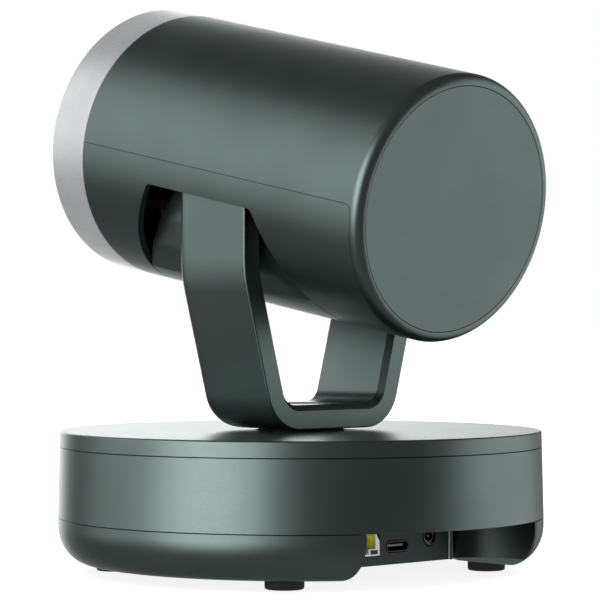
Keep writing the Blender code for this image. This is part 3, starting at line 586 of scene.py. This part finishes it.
def base_bottom():
    floor_top = FLOOR_Z + FLOOR_THICK
    top = SEAM_LOW_Z - SEAM
    centre = (BASE_RADIUS - ROUND_WIDE, UNDERSIDE_Z + ROUND_TALL)
    outer = arc(centre, (ROUND_WIDE, ROUND_TALL), 0, -90, 24)
    inner = arc(centre, (ROUND_WIDE - BASE_WALL, centre[1] - floor_top), -90, 0, 12)
    profile = (
        [(BASE_RADIUS - EDGE, top), (BASE_RADIUS, top - EDGE)] + outer
        + [(RIM_INNER_RADIUS + out, UNDERSIDE_Z + up) for out, up in RIM_SLOPE]
        + [(RIM_INNER_RADIUS, FLOOR_Z), (TRIPOD_HOLE + TRIPOD_EDGE, FLOOR_Z)]
        + [(TRIPOD_HOLE, FLOOR_Z + TRIPOD_EDGE), (TRIPOD_HOLE, floor_top)]
        + inner + [(BASE_RADIUS - BASE_WALL, top)]
    )
    bottom = turned("bottom_shell", profile)
    back = PANEL_Y - PANEL_THICK - SCOOP_WALL - GAP
    cutters = [
        block("recess_cutter", (-RECESS_HALF, back, BELOW_Z), (RECESS_HALF, BIG, OVER_SHELL_Z)),
        block("channel_cutter", (-RECESS_HALF, CHANNEL_Y, BELOW_Z), (RECESS_HALF, BIG, FLOOR_Z)),
    ]
    for x, y in foot_places().values():
        cutters.append(disc("foot_cutter", FOOT_RADIUS + GAP, BELOW_Z, FOOT_TOP_Z + GAP,
                            place=at(x, y, 0)))
    for x, y in screw_places():
        profile = [(0, OVER_SHELL_Z), (SCREW_HOLE, OVER_SHELL_Z), (SCREW_HOLE, SCREW_SEAT_Z),
                   (SCREW_SINK, SCREW_SEAT_Z), (SCREW_SINK, BELOW_Z), (0, BELOW_Z)]
        cutters.append(turned("screw_cutter", profile, SMALL, at(x, y, 0)))
    cut(bottom, *cutters)
    finished(bottom, "base", "green_shell", "base_bottom_shell")


def base_upper():
    slope = (BASE_RADIUS - BASE_TOP_RADIUS) / (BASE_TOP_Z - SEAM_LOW_Z)
    seam_radius = BASE_RADIUS - slope * (SEAM_HIGH_Z - SEAM_LOW_Z)
    low, high = SEAM_LOW_Z + SEAM, SEAM_HIGH_Z - SEAM
    inner = BASE_RADIUS - RING_WALL
    middle = turned("middle_ring", [
        (inner, high), (seam_radius - EDGE, high), (seam_radius, high - EDGE),
        (BASE_RADIUS, low + EDGE), (BASE_RADIUS - EDGE, low), (inner, low),
    ])
    finished(middle, "base", "green_shell", "base_middle_ring")

    under = BASE_TOP_Z - COVER_THICK
    edge = SEAM_HIGH_Z + SEAM
    boss = BEARING_RADIUS + GAP
    sunk = YOKE_BOTTOM_Z - PEDESTAL_THICK - 2 * GAP
    well = PEDESTAL_RADIUS + 2 * GAP
    bore = SPINDLE_RADIUS + SPINDLE_PLAY
    bearing_low, bearing_high = BEARING_Z
    rim = BASE_TOP_ROUNDING
    rounding = arc((BASE_TOP_RADIUS - rim, BASE_TOP_Z - rim), rim, 90, 0, 6)
    cover = turned("top_cover", [
        (bore, sunk), (well, sunk), (well, BASE_TOP_Z - WELL_EDGE),
        (well + WELL_EDGE, BASE_TOP_Z)] + rounding + [
        (seam_radius, edge + EDGE), (seam_radius - EDGE, edge), (inner, edge),
        (inner, under), (boss + BOSS_WALL, under), (boss + BOSS_WALL, bearing_low),
        (boss, bearing_low), (boss, bearing_high + GAP), (bore, bearing_high + GAP),
    ])
    posts = [disc("post", POST_RADIUS, POST_LOW_Z, under + 1, place=at(x, y, 0))
             for x, y in screw_places()]
    combine(cover, posts, "UNION")
    pilots = [disc("pilot", SCREW_PILOT, BELOW_Z, OVER_SHELL_Z - 2, place=at(x, y, 0))
              for x, y in screw_places()]
    cut(cover, *pilots)
    finished(cover, "base", "green_shell", "base_top_cover")


def panel_region(inset):
    """The room for the panel inside the base, this far within the bottom shell."""
    inner = BASE_RADIUS - RING_WALL - GAP
    above = PANEL_TOP_Z + 5
    step_z = SEAM_LOW_Z - 2 * SEAM
    outer = arc((BASE_RADIUS - ROUND_WIDE, UNDERSIDE_Z + ROUND_TALL),
                (ROUND_WIDE - inset, ROUND_TALL - inset), 0, -70, 24)
    return turned("panel_region", [(0, above), (inner, above), (inner, step_z),
                                   (BASE_RADIUS - inset, step_z)] + outer
                  + [(outer[-1][0], BELOW_Z), (0, BELOW_Z)])


def panel_body():
    """The flat panel with its rib and finger scoop, the far end wall and the roof."""
    edge = RECESS_HALF - 2 * SEAM
    inner = BASE_RADIUS - RING_WALL - GAP
    reach = math.sqrt(inner ** 2 - edge ** 2) - 0.2
    past = reach + 6
    back = PANEL_Y - PANEL_THICK
    inside = edge - SCOOP_WALL
    behind_rib = PANEL_RIB_X + 0.6
    centre = (PANEL_CURVE - inside, reach)
    scoop = arc(centre, (PANEL_CURVE, reach - back), 180, 270, 32)
    scoop_back = arc(centre, (PANEL_CURVE + SCOOP_WALL, reach - back + SCOOP_WALL), 270, 180, 32)
    rib = arc((PANEL_RIB_X + 0.2, PANEL_Y - 0.6), RIB_RADIUS, 190, 10, 12)
    panel = prism("panel", (
        [(-inside, past)] + scoop + rib
        + [(PANEL_END_X, PANEL_Y), (PANEL_END_X, back), (behind_rib, back)]
        + [(behind_rib, back - SCOOP_WALL)] + scoop_back + [(-edge, past)]
    ), PANEL_LOW_Z, PANEL_TOP_Z)
    combine(panel, [panel_region(FLUSH)], "INTERSECT")

    joint = PANEL_END_X - 0.5
    side = prism("panel_side", [
        (joint, PANEL_Y), (PANEL_END_X, PANEL_Y), (inside, reach), (edge, reach),
        (PANEL_END_X + SCOOP_WALL, back), (joint, back),
    ], PANEL_LOW_Z, PANEL_TOP_Z)
    combine(side, [panel_region(HIDDEN)], "INTERSECT")
    combine(panel, [side], "UNION")
    roof = prism("panel_roof", [(-edge, back), (edge, back)] + arc((0, 0), inner, 61.5, 118.5, 48),
                 PANEL_TOP_Z - 1.5, PANEL_TOP_Z - 0.01)
    return combine(panel, [roof], "UNION")


def socket_panel():
    panel = panel_body()
    half = NETWORK_HALF + GAP
    usb = fillet(rectangle(USB_SIZE[0] + 0.5, USB_SIZE[1] + 0.5), [1.75] * 4, 10)
    cut(
        panel,
        block("network_cutter",
              (NETWORK_X - half, PANEL_Y - PANEL_THICK - 3, NETWORK_Z - GAP),
              (NETWORK_X + half, PANEL_Y + 3, NETWORK_Z + NETWORK_TALL + GAP)),
        prism("usb_cutter", usb, -SOCKET_CUT, SOCKET_CUT, at(USB_X, PANEL_Y, USB_Z, 90)),
        disc("power_cutter", POWER_RADIUS + GAP, -SOCKET_CUT, SOCKET_CUT, FINE,
             at(POWER_X, PANEL_Y, POWER_Z, 90)),
    )
    finished(panel, "base", "green_shell", "port_panel")

    # All of the panel except its rib takes the darker copy of the green: painted shade of the
    # recess
    def painted_shade_off_rib(x, y, _):
        return abs(x - PANEL_RIB_X) >= 1.4 * RIB_RADIUS or y <= PANEL_Y - RIB_RADIUS

    repaint(panel, MATERIAL["painted_shade_shell"], painted_shade_off_rib)


def network_socket():
    """A jack that is wider below, where its lamp windows are, with a latch notch."""
    front = PANEL_Y + 0.2
    half = [(NETWORK_HALF, 0), (NETWORK_HALF, 4.1), (6.9, 5.9), (6.9, NETWORK_TALL)]
    facing = at(NETWORK_X, front, NETWORK_Z, 90)
    jack = bevelled(prism("jack", mirrored(half), 0, NETWORK_DEEP, facing), 0.15, 2)
    opening = mirrored([(3.6, 0.6), (3.6, 2.0), (6.3, 2.0), (6.3, 11.0)])
    cutters = [prism("plug_cutter", opening, -2, 12.5, facing)]
    for side in (-1, 1):
        window = [(side * x, z) for x, z in ((4.3, 0.45), (7.2, 0.45), (7.2, 1.7), (4.3, 1.7))]
        cutters.append(prism("lamp_cutter", window, -1, 0.5, facing))
        lamp = prism(f"jack_lamp_{(side + 3) // 2}", [
            (side * x, z) for x, z in ((4.35, 0.5), (7.15, 0.5), (7.15, 1.65), (4.35, 1.65))
        ], 0.2, 2.0, facing)
        finished(lamp, "base", "gloss_black")
    cut(jack, *cutters)
    finished(jack, "base", "satin_silver", "network_jack")
    liner = prism("jack_liner", mirrored([(6.2, 2.1), (6.2, 10.9)]), 1.2, 12.4, facing)
    cut(liner, prism("liner_cutter", mirrored([(5.9, 1.0), (5.9, 10.6)]), 0, 12.1, facing))
    finished(liner, "base", "contact_gold", material=OLIVE)
    network_springs(front)


def network_springs(front):
    """The jack's sprung contacts: one bent wire each, as (behind the front, up)."""
    shape = bmesh.new()
    wire = [(-11.8, 3.4), (-11.8, 8.6), (-11.3, 8.6), (-4.2, 5.2), (-3.4, 6.4), (-3.0, 6.1),
            (-3.9, 4.5), (-11.3, 7.9), (-11.3, 3.4)]
    for index in range(CONTACTS):
        left = NETWORK_X - 4.0 + index * CONTACT_STEP
        sides = []
        for x in (left, left + CONTACT_WIDE):
            sides.append([
                shape.verts.new((x * MM, (front + y) * MM, (NETWORK_Z + z) * MM)) for y, z in wire
            ])
        shape.faces.new(sides[0])
        shape.faces.new(sides[1][::-1])
        for first in range(len(wire)):
            second = (first + 1) % len(wire)
            shape.faces.new((sides[0][second], sides[0][first], sides[1][first], sides[1][second]))
    springs = new_object("jack_springs", shape, ROW)
    finished(springs, "base", "contact_gold", "network_contacts", material=OLIVE)


def usb_socket():
    front = PANEL_Y - 0.1
    wide, tall = USB_SIZE
    facing = at(USB_X, front, USB_Z, 90)
    shell = prism("usb_case", fillet(rectangle(wide, tall), [1.5] * 4, 12), 0, 8.5, facing)
    bore = fillet(rectangle(wide - 0.6, tall - 0.6), [1.2] * 4, 12)
    cut(shell, prism("usb_bore", bore, -2, 7.9, facing))
    finished(bevelled(shell, 0.06, 2), "base", "steel", "usb_shell", material=BLACK_CHROME)
    blade = [(-3.35, 0.0), (3.35, 0.0), (3.35, 0.7), (-3.35, 0.7)]
    tongue = bevelled(prism("usb_blade", blade, 1.2, 7.6, at(USB_X, front, USB_Z - 0.1, 90)), 0.12)
    finished(tongue, "base", "black_plastic", "usb_tongue", material=TONGUE)


def power_socket():
    back = PANEL_Y - PANEL_THICK - GAP
    front = PANEL_Y - 0.2
    jack = block("power_case", (POWER_X - 4.5, back - 12, 8.0),
                 (POWER_X + 4.5, back, POWER_Z + 4.4))
    facing = at(POWER_X, front, POWER_Z, 90)
    nose = disc("power_nose", POWER_RADIUS, 0, 5, FINE, facing)
    combine(bevelled(jack, 0.3), [nose], "UNION")
    bore = [(0, 10), (1.9, 10), (1.9, 1.2), (2.15, 1.2), (2.15, 0.5), (2.45, 0.5),
            (2.45, -2), (0, -2)]
    cut(jack, turned("power_bore", bore, FINE, facing))
    finished(jack, "base", "black_plastic", "power_jack", material=MATERIAL["gloss_black"])
    tip = arc((0, 1.45), 0.65, 0, -90, 6)[:-1]
    pin = turned("power_tip", [(0, 9.6), (0.65, 9.6)] + tip + [(0, 0.8)], SMALL, facing)
    finished(pin, "base", "brass", "power_pin")
    for name, radius, depth in (("power_sleeve", 1.85, 0.75), ("power_rim", 2.40, 0.35)):
        ring = [(radius, 1.1), (radius, depth), (radius - 0.14, depth), (radius - 0.14, 1.1)]
        finished(turned(name, ring, FINE, facing), "base", "steel")


def feet_and_fasteners():
    for name, (x, y) in foot_places().items():
        rounding = arc((FOOT_RADIUS - FOOT_ROUNDING, FOOT_ROUNDING), FOOT_ROUNDING, 0, -90, 6)
        profile = [(0, FOOT_TOP_Z), (FOOT_RADIUS, FOOT_TOP_Z)] + rounding
        profile += [(3.4, 0), (3.2, 0.25), (2.8, 0.25), (2.6, 0), (0, 0)]
        pad = turned("pad_" + name, profile, FINE, at(x, y, 0))
        finished(pad, "base", "rubber", "foot_" + name)
    for index, (x, y) in enumerate(screw_places()):
        profile = [(0, 14), (1.5, 14), (1.5, 4.2), (3.1, 4.2), (3.1, 3.6), (2.7, 3.2), (0, 3.2)]
        screw = turned(f"screw_{index + 1}", profile, SMALL, at(x, y, 0))
        arms = [block("slot", (-2.0, -0.4, 2.5), (2.0, 0.4, 3.9), at(x, y, 0, turn, "Z"))
                for turn in (45, 135)]
        cut(screw, *arms)
        finished(screw, "base", "steel", f"base_screw_{index + 1}")
    low = FLOOR_Z + 0.2
    thread = []
    for index in range(THREAD_TURNS):
        height = low + 0.5 + index * THREAD_STEP
        thread += [(2.6, height), (3.0, height + THREAD_STEP / 2)]
    profile = [(2.6, 13.0), (4.5, 13.0), (4.5, 7.8), (6.7, 7.8), (6.7, low), (3.1, low)]
    nut = turned("tripod_insert", profile + thread, FINE)
    finished(nut, "base", "brass", "tripod_nut")


# ------------------------------------------------------------------ yoke

def yoke_section():
    """Cross-section of the yoke's bar as (towards the lens, depth from its outer face)."""
    half = YOKE_WIDTH / 2
    soft, deep = YOKE_CROWN
    crown = arc((half - soft, deep), (soft, deep), -90, 0, 12)
    corner = [(half, YOKE_THICK - YOKE_CHAMFER), (half - YOKE_CHAMFER, YOKE_THICK),
              (YOKE_CHAMFER - half, YOKE_THICK), (-half, YOKE_THICK - YOKE_CHAMFER)]
    edge = arc((YOKE_EDGE - half, YOKE_EDGE), YOKE_EDGE, -180, -90, 6)
    return crown + fillet(corner, [0.3] * 4, 3, closed=False) + edge


def yoke_path(depth):
    """Front view of the yoke at a depth below its outer face: a U with leaning
    arms, bent upright at the top."""
    top = TILT_Z + YOKE_WIDTH / 2 + 1
    half = [(ARM_OUTER_X, top), (ARM_OUTER_X, ARM_BEND_Z), (YOKE_CORNER_X, YOKE_BOTTOM_Z)]
    path = offset_path(mirrored(half), -depth)
    share = depth / YOKE_THICK
    corner = YOKE_CORNER_RADIUS + (YOKE_INNER_RADIUS - YOKE_CORNER_RADIUS) * share
    bends = [0, ARM_BEND_RADIUS - depth, corner]
    return fillet(path, bends + bends[::-1], 20, closed=False)


def yoke_bar():
    """The yoke's cross-section, carried along its path."""
    shape = bmesh.new()
    rows = []
    for across, depth in yoke_section():
        rows.append([shape.verts.new((x * MM, -across * MM, z * MM)) for x, z in yoke_path(depth)])
    for row, following in zip(rows, rows[1:] + rows[:1]):
        for index in range(len(row) - 1):
            shape.faces.new((row[index], row[index + 1], following[index + 1], following[index]))
    shape.faces.new([row[0] for row in rows])
    shape.faces.new([row[-1] for row in rows][::-1])
    return new_object("bracket", shape, ROW)


def yoke():
    half = YOKE_WIDTH / 2
    bracket = yoke_bar()
    lug = [(-half, YOKE_BOTTOM_Z - 5), (half, YOKE_BOTTOM_Z - 5)]
    lug += arc((0, TILT_Z), half, 0, 180, 64)
    upright = Matrix.Rotation(math.radians(90), 4, "Z") @ Matrix.Rotation(math.radians(90), 4, "X")
    combine(bracket, [prism("lug", lug, -BIG, BIG, upright)], "INTERSECT")
    across, rise = ARM_CHAMFER
    top = TILT_Z + half + 2
    slopes = []
    for side in (-1, 1):
        wedge = [(side * (ARM_OUTER_X + 1), TILT_Z + rise), (side * ARM_OUTER_X, TILT_Z + rise),
                 (side * (ARM_OUTER_X - across), top), (side * (ARM_OUTER_X + 1), top)]
        slopes.append(prism("slope", wedge, -BIG, BIG, at(0, 0, 0, 90)))
    cut(
        bracket,
        *slopes,
        disc("pin_cutter", PIN_RADIUS + GAP, -BIG, BIG, FINE, at(0, 0, TILT_Z, 90, "Y")),
        disc("cable_cutter", SPINDLE_BORE, YOKE_BOTTOM_Z - 5, YOKE_BOTTOM_Z + 10, FINE),
    )
    finished(bracket, "yoke", "green_shell", "yoke_bracket")

    high = YOKE_BOTTOM_Z - GAP
    low = high - PEDESTAL_THICK
    spindle = turned("spindle", [
        (SPINDLE_BORE, high), (PEDESTAL_RADIUS - 0.3, high), (PEDESTAL_RADIUS, high - 0.3),
        (PEDESTAL_RADIUS, low), (SPINDLE_RADIUS, low), (SPINDLE_RADIUS, SPINDLE_END_Z),
        (SPINDLE_BORE, SPINDLE_END_Z),
    ])
    finished(spindle, "yoke", "dark_shell", "pan_spindle")


# ------------------------------------------------------------------ head

def head_radius(along):
    """Radius of the head's outside, which widens evenly towards the front."""
    span = HEAD_FRONT - HEAD_REAR - REAR_FILLET
    part = (along - HEAD_REAR - REAR_FILLET) / span
    return HEAD_REAR_RADIUS + (HEAD_FRONT_RADIUS - HEAD_REAR_RADIUS) * part


def housing_profile(front):
    start = HEAD_REAR + REAR_FILLET
    centre = (HEAD_REAR_RADIUS - REAR_FILLET, start)
    inner_rear = head_radius(start) - HOUSING_WALL
    lip = CAP_RADIUS + 2 * SEAM
    return (
        [(head_radius(front) - EDGE, front), (head_radius(front), front - EDGE)]
        + arc(centre, REAR_FILLET, 0, -90, 16)
        + [(lip, HEAD_REAR), (lip, HEAD_REAR + CAP_THICK)]
        + [(inner_rear, start + 0.6), (head_radius(front) - HOUSING_WALL, front)]
    )


def lower_region(inset):
    """Side view of what the lower housing takes, as (rearward, up) points: all
    below the head's middle and ahead of the rear rim, with one rounded corner."""
    rear = -(HEAD_REAR + REAR_FILLET) - inset
    corners = [(-BIG, -BIG), (rear, -BIG), (rear, -inset), (-BIG, -inset)]
    return fillet(corners, [0, 0, SEAM_CORNER - inset, 0], 12)


def slot_outline(inset, top):
    """Side view of the arm slots: a fan about the tilt axis, as (rearward, up)."""
    lean = math.radians(SLOT_LEAN)

    def edge(reach, up):
        return (reach - inset - up * math.sin(lean)) / math.cos(lean)

    rear = [(edge(SLOT_REAR, up), up) for up in (-BIG, top)]
    front = [(-edge(SLOT_FRONT, up), up) for up in (top, -BIG)]
    return fillet(rear + front, [0, SLOT_CORNER, SLOT_CORNER, 0], 10)


def side_prism(name, outline):
    """An outline in (rearward, up), extruded right across the head."""
    return prism(name, outline, -BIG, BIG, at(0, 0, 0, 90, "Y", HEAD))


def head_housings():
    front = RING_SEAM - SEAM
    upper = turned("upper_housing", housing_profile(front), place=HEAD)
    cut(upper, side_prism("upper_cutter", lower_region(-SEAM)))
    finished(upper, "head", "green_shell", "head_upper_housing")
    lower = turned("lower_housing", housing_profile(front), place=HEAD)
    combine(lower, [side_prism("lower_part", lower_region(SEAM))], "INTERSECT")
    cut(lower, side_prism("slot_cutter", slot_outline(0, SLOT_TOP)))
    finished(lower, "head", "green_shell", "head_lower_housing")

    # The slot's inside faces take the darker copy of the green: painted shade of the slot's hollow
    def painted_shade_in_slot(x, y, z):
        inside = math.hypot(x, y) < head_radius(z) - 0.25
        return inside and HEAD_REAR + 10 < z < front - 2

    repaint(lower, MATERIAL["painted_shade_shell"], painted_shade_in_slot)


def insert_section(inset):
    """Cross-section of the belly insert: upright flats beside the arms, then a
    bulge that meets the round belly."""
    half = [(INSERT_HALF, 0), (INSERT_HALF, -18), (25.3, -28), (20.3, -36), (14, -60)]
    radii = [0, 14, 12, 6, 0]
    points = fillet(half, radii, 12, closed=False)
    return mirrored(offset_path(points, -inset))


def belly_insert():
    outer = prism("belly", insert_section(0), -48, 48, HEAD)
    ahead, behind = INSERT_REACH, -INSERT_REACH
    cone = [(0, ahead), (head_radius(ahead), ahead), (head_radius(behind), behind), (0, behind)]
    hollow = [(r - HOUSING_WALL if r else 0, z * 1.05) for r, z in cone]
    combine(outer, [
        turned("belly_cone", cone, place=HEAD),
        side_prism("belly_fan", slot_outline(GAP, INSERT_TOP)),
    ], "INTERSECT")
    inner = prism("belly_hollow", insert_section(INSERT_WALL), -70, 70, HEAD)
    combine(inner, [turned("hollow_cone", hollow, place=HEAD)], "INTERSECT")
    cut(outer, inner)
    finished(bevelled(outer, 0.25, 2, 50.0), "head", "green_shell", "belly_insert")


def head_ends():
    inside = HEAD_REAR + CAP_THICK
    rib_inner, rib_outer, rib_tall = CAP_RIB
    cap = turned("cap", [
        (0, inside), (rib_inner, inside), (rib_inner, inside + rib_tall),
        (rib_outer, inside + rib_tall), (rib_outer, inside), (CAP_RADIUS, inside),
        (CAP_RADIUS, HEAD_REAR + EDGE), (CAP_RADIUS - EDGE, HEAD_REAR), (0, HEAD_REAR),
    ], place=HEAD)
    finished(cap, "head", "green_shell", "rear_cap")

    rear = RING_SEAM + SEAM
    inner = HEAD_FRONT_RADIUS - RING_WIDE
    rounding = arc((HEAD_FRONT_RADIUS - RING_ROUNDING, HEAD_FRONT - RING_ROUNDING),
                   RING_ROUNDING, 90, 0, 8)
    trim = turned("trim_ring", [(inner + 0.3, HEAD_FRONT)] + rounding + [
        (head_radius(rear), rear + EDGE), (head_radius(rear) - EDGE, rear),
        (inner, rear), (inner, HEAD_FRONT - 0.3),
    ], place=HEAD)
    finished(trim, "head", "satin_silver", "front_ring")

    outside = inner - GAP
    bezel = turned("bezel", [
        (19.6, 64.2), (20.0, 64.5), (22.5, 64.75), (22.7, 64.45), (23.3, 64.5), (23.5, 64.85),
        (outside - 1.2, 67.4), (outside - 0.4, 67.35), (outside, 67.0), (outside, 63.6),
        (19.6, 61.9),
    ], place=HEAD)
    finished(bezel, "head", "gloss_black", "front_bezel")
    pane = turned("glass_pane", [
        (0, 63.6), (18.9, 63.6), (19.2, 63.3), (19.2, 62.5), (18.9, 62.2), (0, 62.2),
    ], FINE, HEAD)
    finished(pane, "head", "lens_glass", "front_glass")


def barrel():
    rear_flange, front_flange = FLANGE_RADII
    front_under = BARREL_FRONT - 0.8
    rear_under = BARREL_REAR + 2.4
    rings = []
    for index in range(BARREL_RINGS):
        height = front_under - index * 0.6
        rings += [(BARREL_NOSE + 0.4, height), (BARREL_NOSE, height - 0.3)]
    tube = turned("barrel", [
        (BARREL_BORE - 4, BARREL_REAR + 1.2), (BARREL_BORE, BARREL_REAR + 1.2),
        (BARREL_BORE, BARREL_FRONT - 4), (BARREL_NOSE, BARREL_FRONT - 3.9)] + rings[::-1] + [
        (BARREL_NOSE + 0.6, BARREL_FRONT), (front_flange, BARREL_FRONT),
        (front_flange, front_under), (BARREL_RADIUS, front_under), (BARREL_RADIUS, rear_under),
        (rear_flange, rear_under), (rear_flange, BARREL_REAR), (BARREL_BORE - 4, BARREL_REAR),
    ], FINE, HEAD)
    finished(tube, "head", "black_plastic", "lens_barrel")


def front_element():
    """A lens with a shallow dome in front and a flat back."""
    sphere = (ELEMENT_RADIUS ** 2 + ELEMENT_BULGE ** 2) / (2 * ELEMENT_BULGE)
    rim = BARREL_FRONT - 3.8
    back = BARREL_FRONT - 5
    dome = []
    for step in range(ELEMENT_STEPS + 1):
        out = ELEMENT_RADIUS * step / ELEMENT_STEPS
        dome.append((out, rim + math.sqrt(sphere ** 2 - out ** 2) - sphere + ELEMENT_BULGE))
    element = turned("front_element", dome + [(ELEMENT_RADIUS, back), (0, back)], FINE, HEAD)
    finished(element, "head", "lens_glass", "front_lens", material=COATED)


def dress_cad_nodes():
    """Gives each CAD node that isn't replaced the full material of its slot."""
    for thing in frame["nodes"].values():
        if thing.hide_render:
            continue
        slot = thing.material_slots[0].material.name.split(".")[0]
        for holder in thing.material_slots:
            holder.material = MATERIAL[slot]


base_bottom()
base_upper()
socket_panel()
network_socket()
usb_socket()
power_socket()
feet_and_fasteners()
yoke()
head_housings()
belly_insert()
head_ends()
barrel()
front_element()
dress_cad_nodes()


# ------------------------------------------------------------------ stage

# The stage is in metres, its turns are in degrees and the camera's lens in millimetres
WHITE = (1.0, 1.0, 1.0, 1.0)
FLOOR_REACH = 6.0
FLOOR_LIFT = 0.86               # light of the floor's own, so that it stays pale
LAMP_HIGH = 2.2
LAMP_WIDE = 4.0
LAMP_WATTS = 25.0
CAMERA_PLACE = (0.5595, 0.60246, 0.0790)
CAMERA_TURN = (90.133, 0.0, 137.12)
CAMERA_LENS = 164.6
CAMERA_SHIFT = -0.00114


def add_floor():
    shape = bmesh.new()
    bmesh.ops.create_circle(shape, cap_ends=True, radius=FLOOR_REACH, segments=64)
    mesh = bpy.data.meshes.new("floor")
    shape.to_mesh(mesh)
    shape.free()
    floor = bpy.data.objects.new("floor", mesh)
    bpy.context.scene.collection.objects.link(floor)
    nodes = Nodes("floor_white")
    nodes.colours(nodes.noise(3.0), (0.40, 0.40, 0.40), (0.42, 0.42, 0.42))
    nodes.rough(nodes.noise(40.0), 0.85, 0.95)
    floor.data.materials.append(nodes.set(
        Specular_IOR_Level=0.0, Emission_Color=WHITE, Emission_Strength=FLOOR_LIFT))
    floor.visible_glossy = False


def direction(azimuth, elevation):
    """Unit vector at an angle from +X towards +Y, and above the horizon."""
    a, e = math.radians(azimuth), math.radians(elevation)
    return math.cos(a) * math.cos(e), math.sin(a) * math.cos(e), math.sin(e)


# Soft panels of light: direction, half-angles of the even part and of the edge, strength
PANELS = (
    (4, 8, 4, 38, 1.68),         # main light, on the left of the picture
    (-48, 19, 4, 40, 0.55),      # fill from the lens side
    (158, -4, 10, 44, 0.60),     # second light, on the other side
    (240, 7, 8, 26, 2.05),       # bright wall behind
    (235, 5, 20, 50, 0.18),      # its soft surround
    (0, -90, 20, 85, 0.05),      # what little the floor throws up
)
AMBIENT = 0.070
FLOOR_GLOW = 1.12               # the even light that only matt surfaces see
SECOND_SHARE = 0.55             # how much of the light a second reflection keeps


def math_node(tree, operation, first, second):
    """A Math node; each operand is a number or another node's output."""
    node = tree.nodes.new("ShaderNodeMath")
    node.operation = operation
    for socket, operand in zip(node.inputs, (first, second)):
        if isinstance(operand, float):
            socket.default_value = operand
        else:
            tree.links.new(operand, socket)
    return node.outputs["Value"]


def spread_node(tree, value, start, end, results, blend="LINEAR"):
    """A Map Range node that takes start..end to the two results."""
    node = tree.nodes.new("ShaderNodeMapRange")
    node.interpolation_type = blend
    node.inputs["From Min"].default_value = start
    node.inputs["From Max"].default_value = end
    node.inputs["To Min"].default_value = results[0]
    node.inputs["To Max"].default_value = results[1]
    tree.links.new(value, node.inputs["Value"])
    return node.outputs["Result"]


def panel_light(tree, ray, azimuth, elevation, inner, outer, strength):
    towards = tree.nodes.new("ShaderNodeVectorMath")
    towards.operation = "DOT_PRODUCT"
    towards.inputs[1].default_value = direction(azimuth, elevation)
    tree.links.new(ray, towards.inputs[0])
    start, end = math.cos(math.radians(outer)), math.cos(math.radians(inner))
    return spread_node(tree, towards.outputs["Value"], start, end, (0.0, strength), "SMOOTHSTEP")


def add_world():
    """Soft panels for the gloss, with plain white for the camera and for matt surfaces."""
    world = bpy.data.worlds.new("studio")
    world.use_nodes = True
    tree = world.node_tree
    ray = tree.nodes.new("ShaderNodeTexCoord").outputs["Generated"]
    total = AMBIENT
    for panel in PANELS:
        total = math_node(tree, "ADD", total, panel_light(tree, ray, *panel))
    ray_kind = tree.nodes.new("ShaderNodeLightPath")
    kept = spread_node(tree, ray_kind.outputs["Glossy Depth"], 1.0, 2.0, (1.0, SECOND_SHARE))
    studio = tree.nodes["Background"]
    tree.links.new(math_node(tree, "MULTIPLY", total, kept), studio.inputs["Strength"])
    studio.inputs["Color"].default_value = WHITE
    shown = studio.outputs["Background"]
    for kind, strength in (("Is Diffuse Ray", FLOOR_GLOW), ("Is Camera Ray", 1.0)):
        plain = tree.nodes.new("ShaderNodeBackground")
        plain.inputs["Color"].default_value = WHITE
        plain.inputs["Strength"].default_value = strength
        mix = tree.nodes.new("ShaderNodeMixShader")
        tree.links.new(ray_kind.outputs[kind], mix.inputs["Fac"])
        tree.links.new(shown, mix.inputs[1])
        tree.links.new(plain.outputs["Background"], mix.inputs[2])
        shown = mix.outputs["Shader"]
    tree.links.new(shown, tree.nodes["World Output"].inputs["Surface"])
    world.cycles.sampling_method = "NONE"
    bpy.context.scene.world = world


def add_floor_light():
    """A wide panel overhead that lights the floor evenly and stays out of the gloss."""
    lamp = bpy.data.lights.new("overhead", "AREA")
    lamp.shape = "DISK"
    lamp.size = LAMP_WIDE
    lamp.energy = LAMP_WATTS
    light = bpy.data.objects.new("overhead", lamp)
    light.location = (0, 0, LAMP_HIGH)
    light.visible_glossy = False
    light.visible_camera = False
    bpy.context.scene.collection.objects.link(light)


def add_camera():
    lens_data = bpy.data.cameras.new("camera")
    lens_data.lens = CAMERA_LENS
    lens_data.shift_x = CAMERA_SHIFT
    lens_data.clip_start = 0.01
    camera = bpy.data.objects.new("camera", lens_data)
    camera.location = CAMERA_PLACE
    camera.rotation_euler = [math.radians(angle) for angle in CAMERA_TURN]
    bpy.context.scene.collection.objects.link(camera)
    bpy.context.scene.camera = camera


add_floor()
add_world()
add_floor_light()
add_camera()
bpy.context.scene.view_settings.view_transform = "Standard"
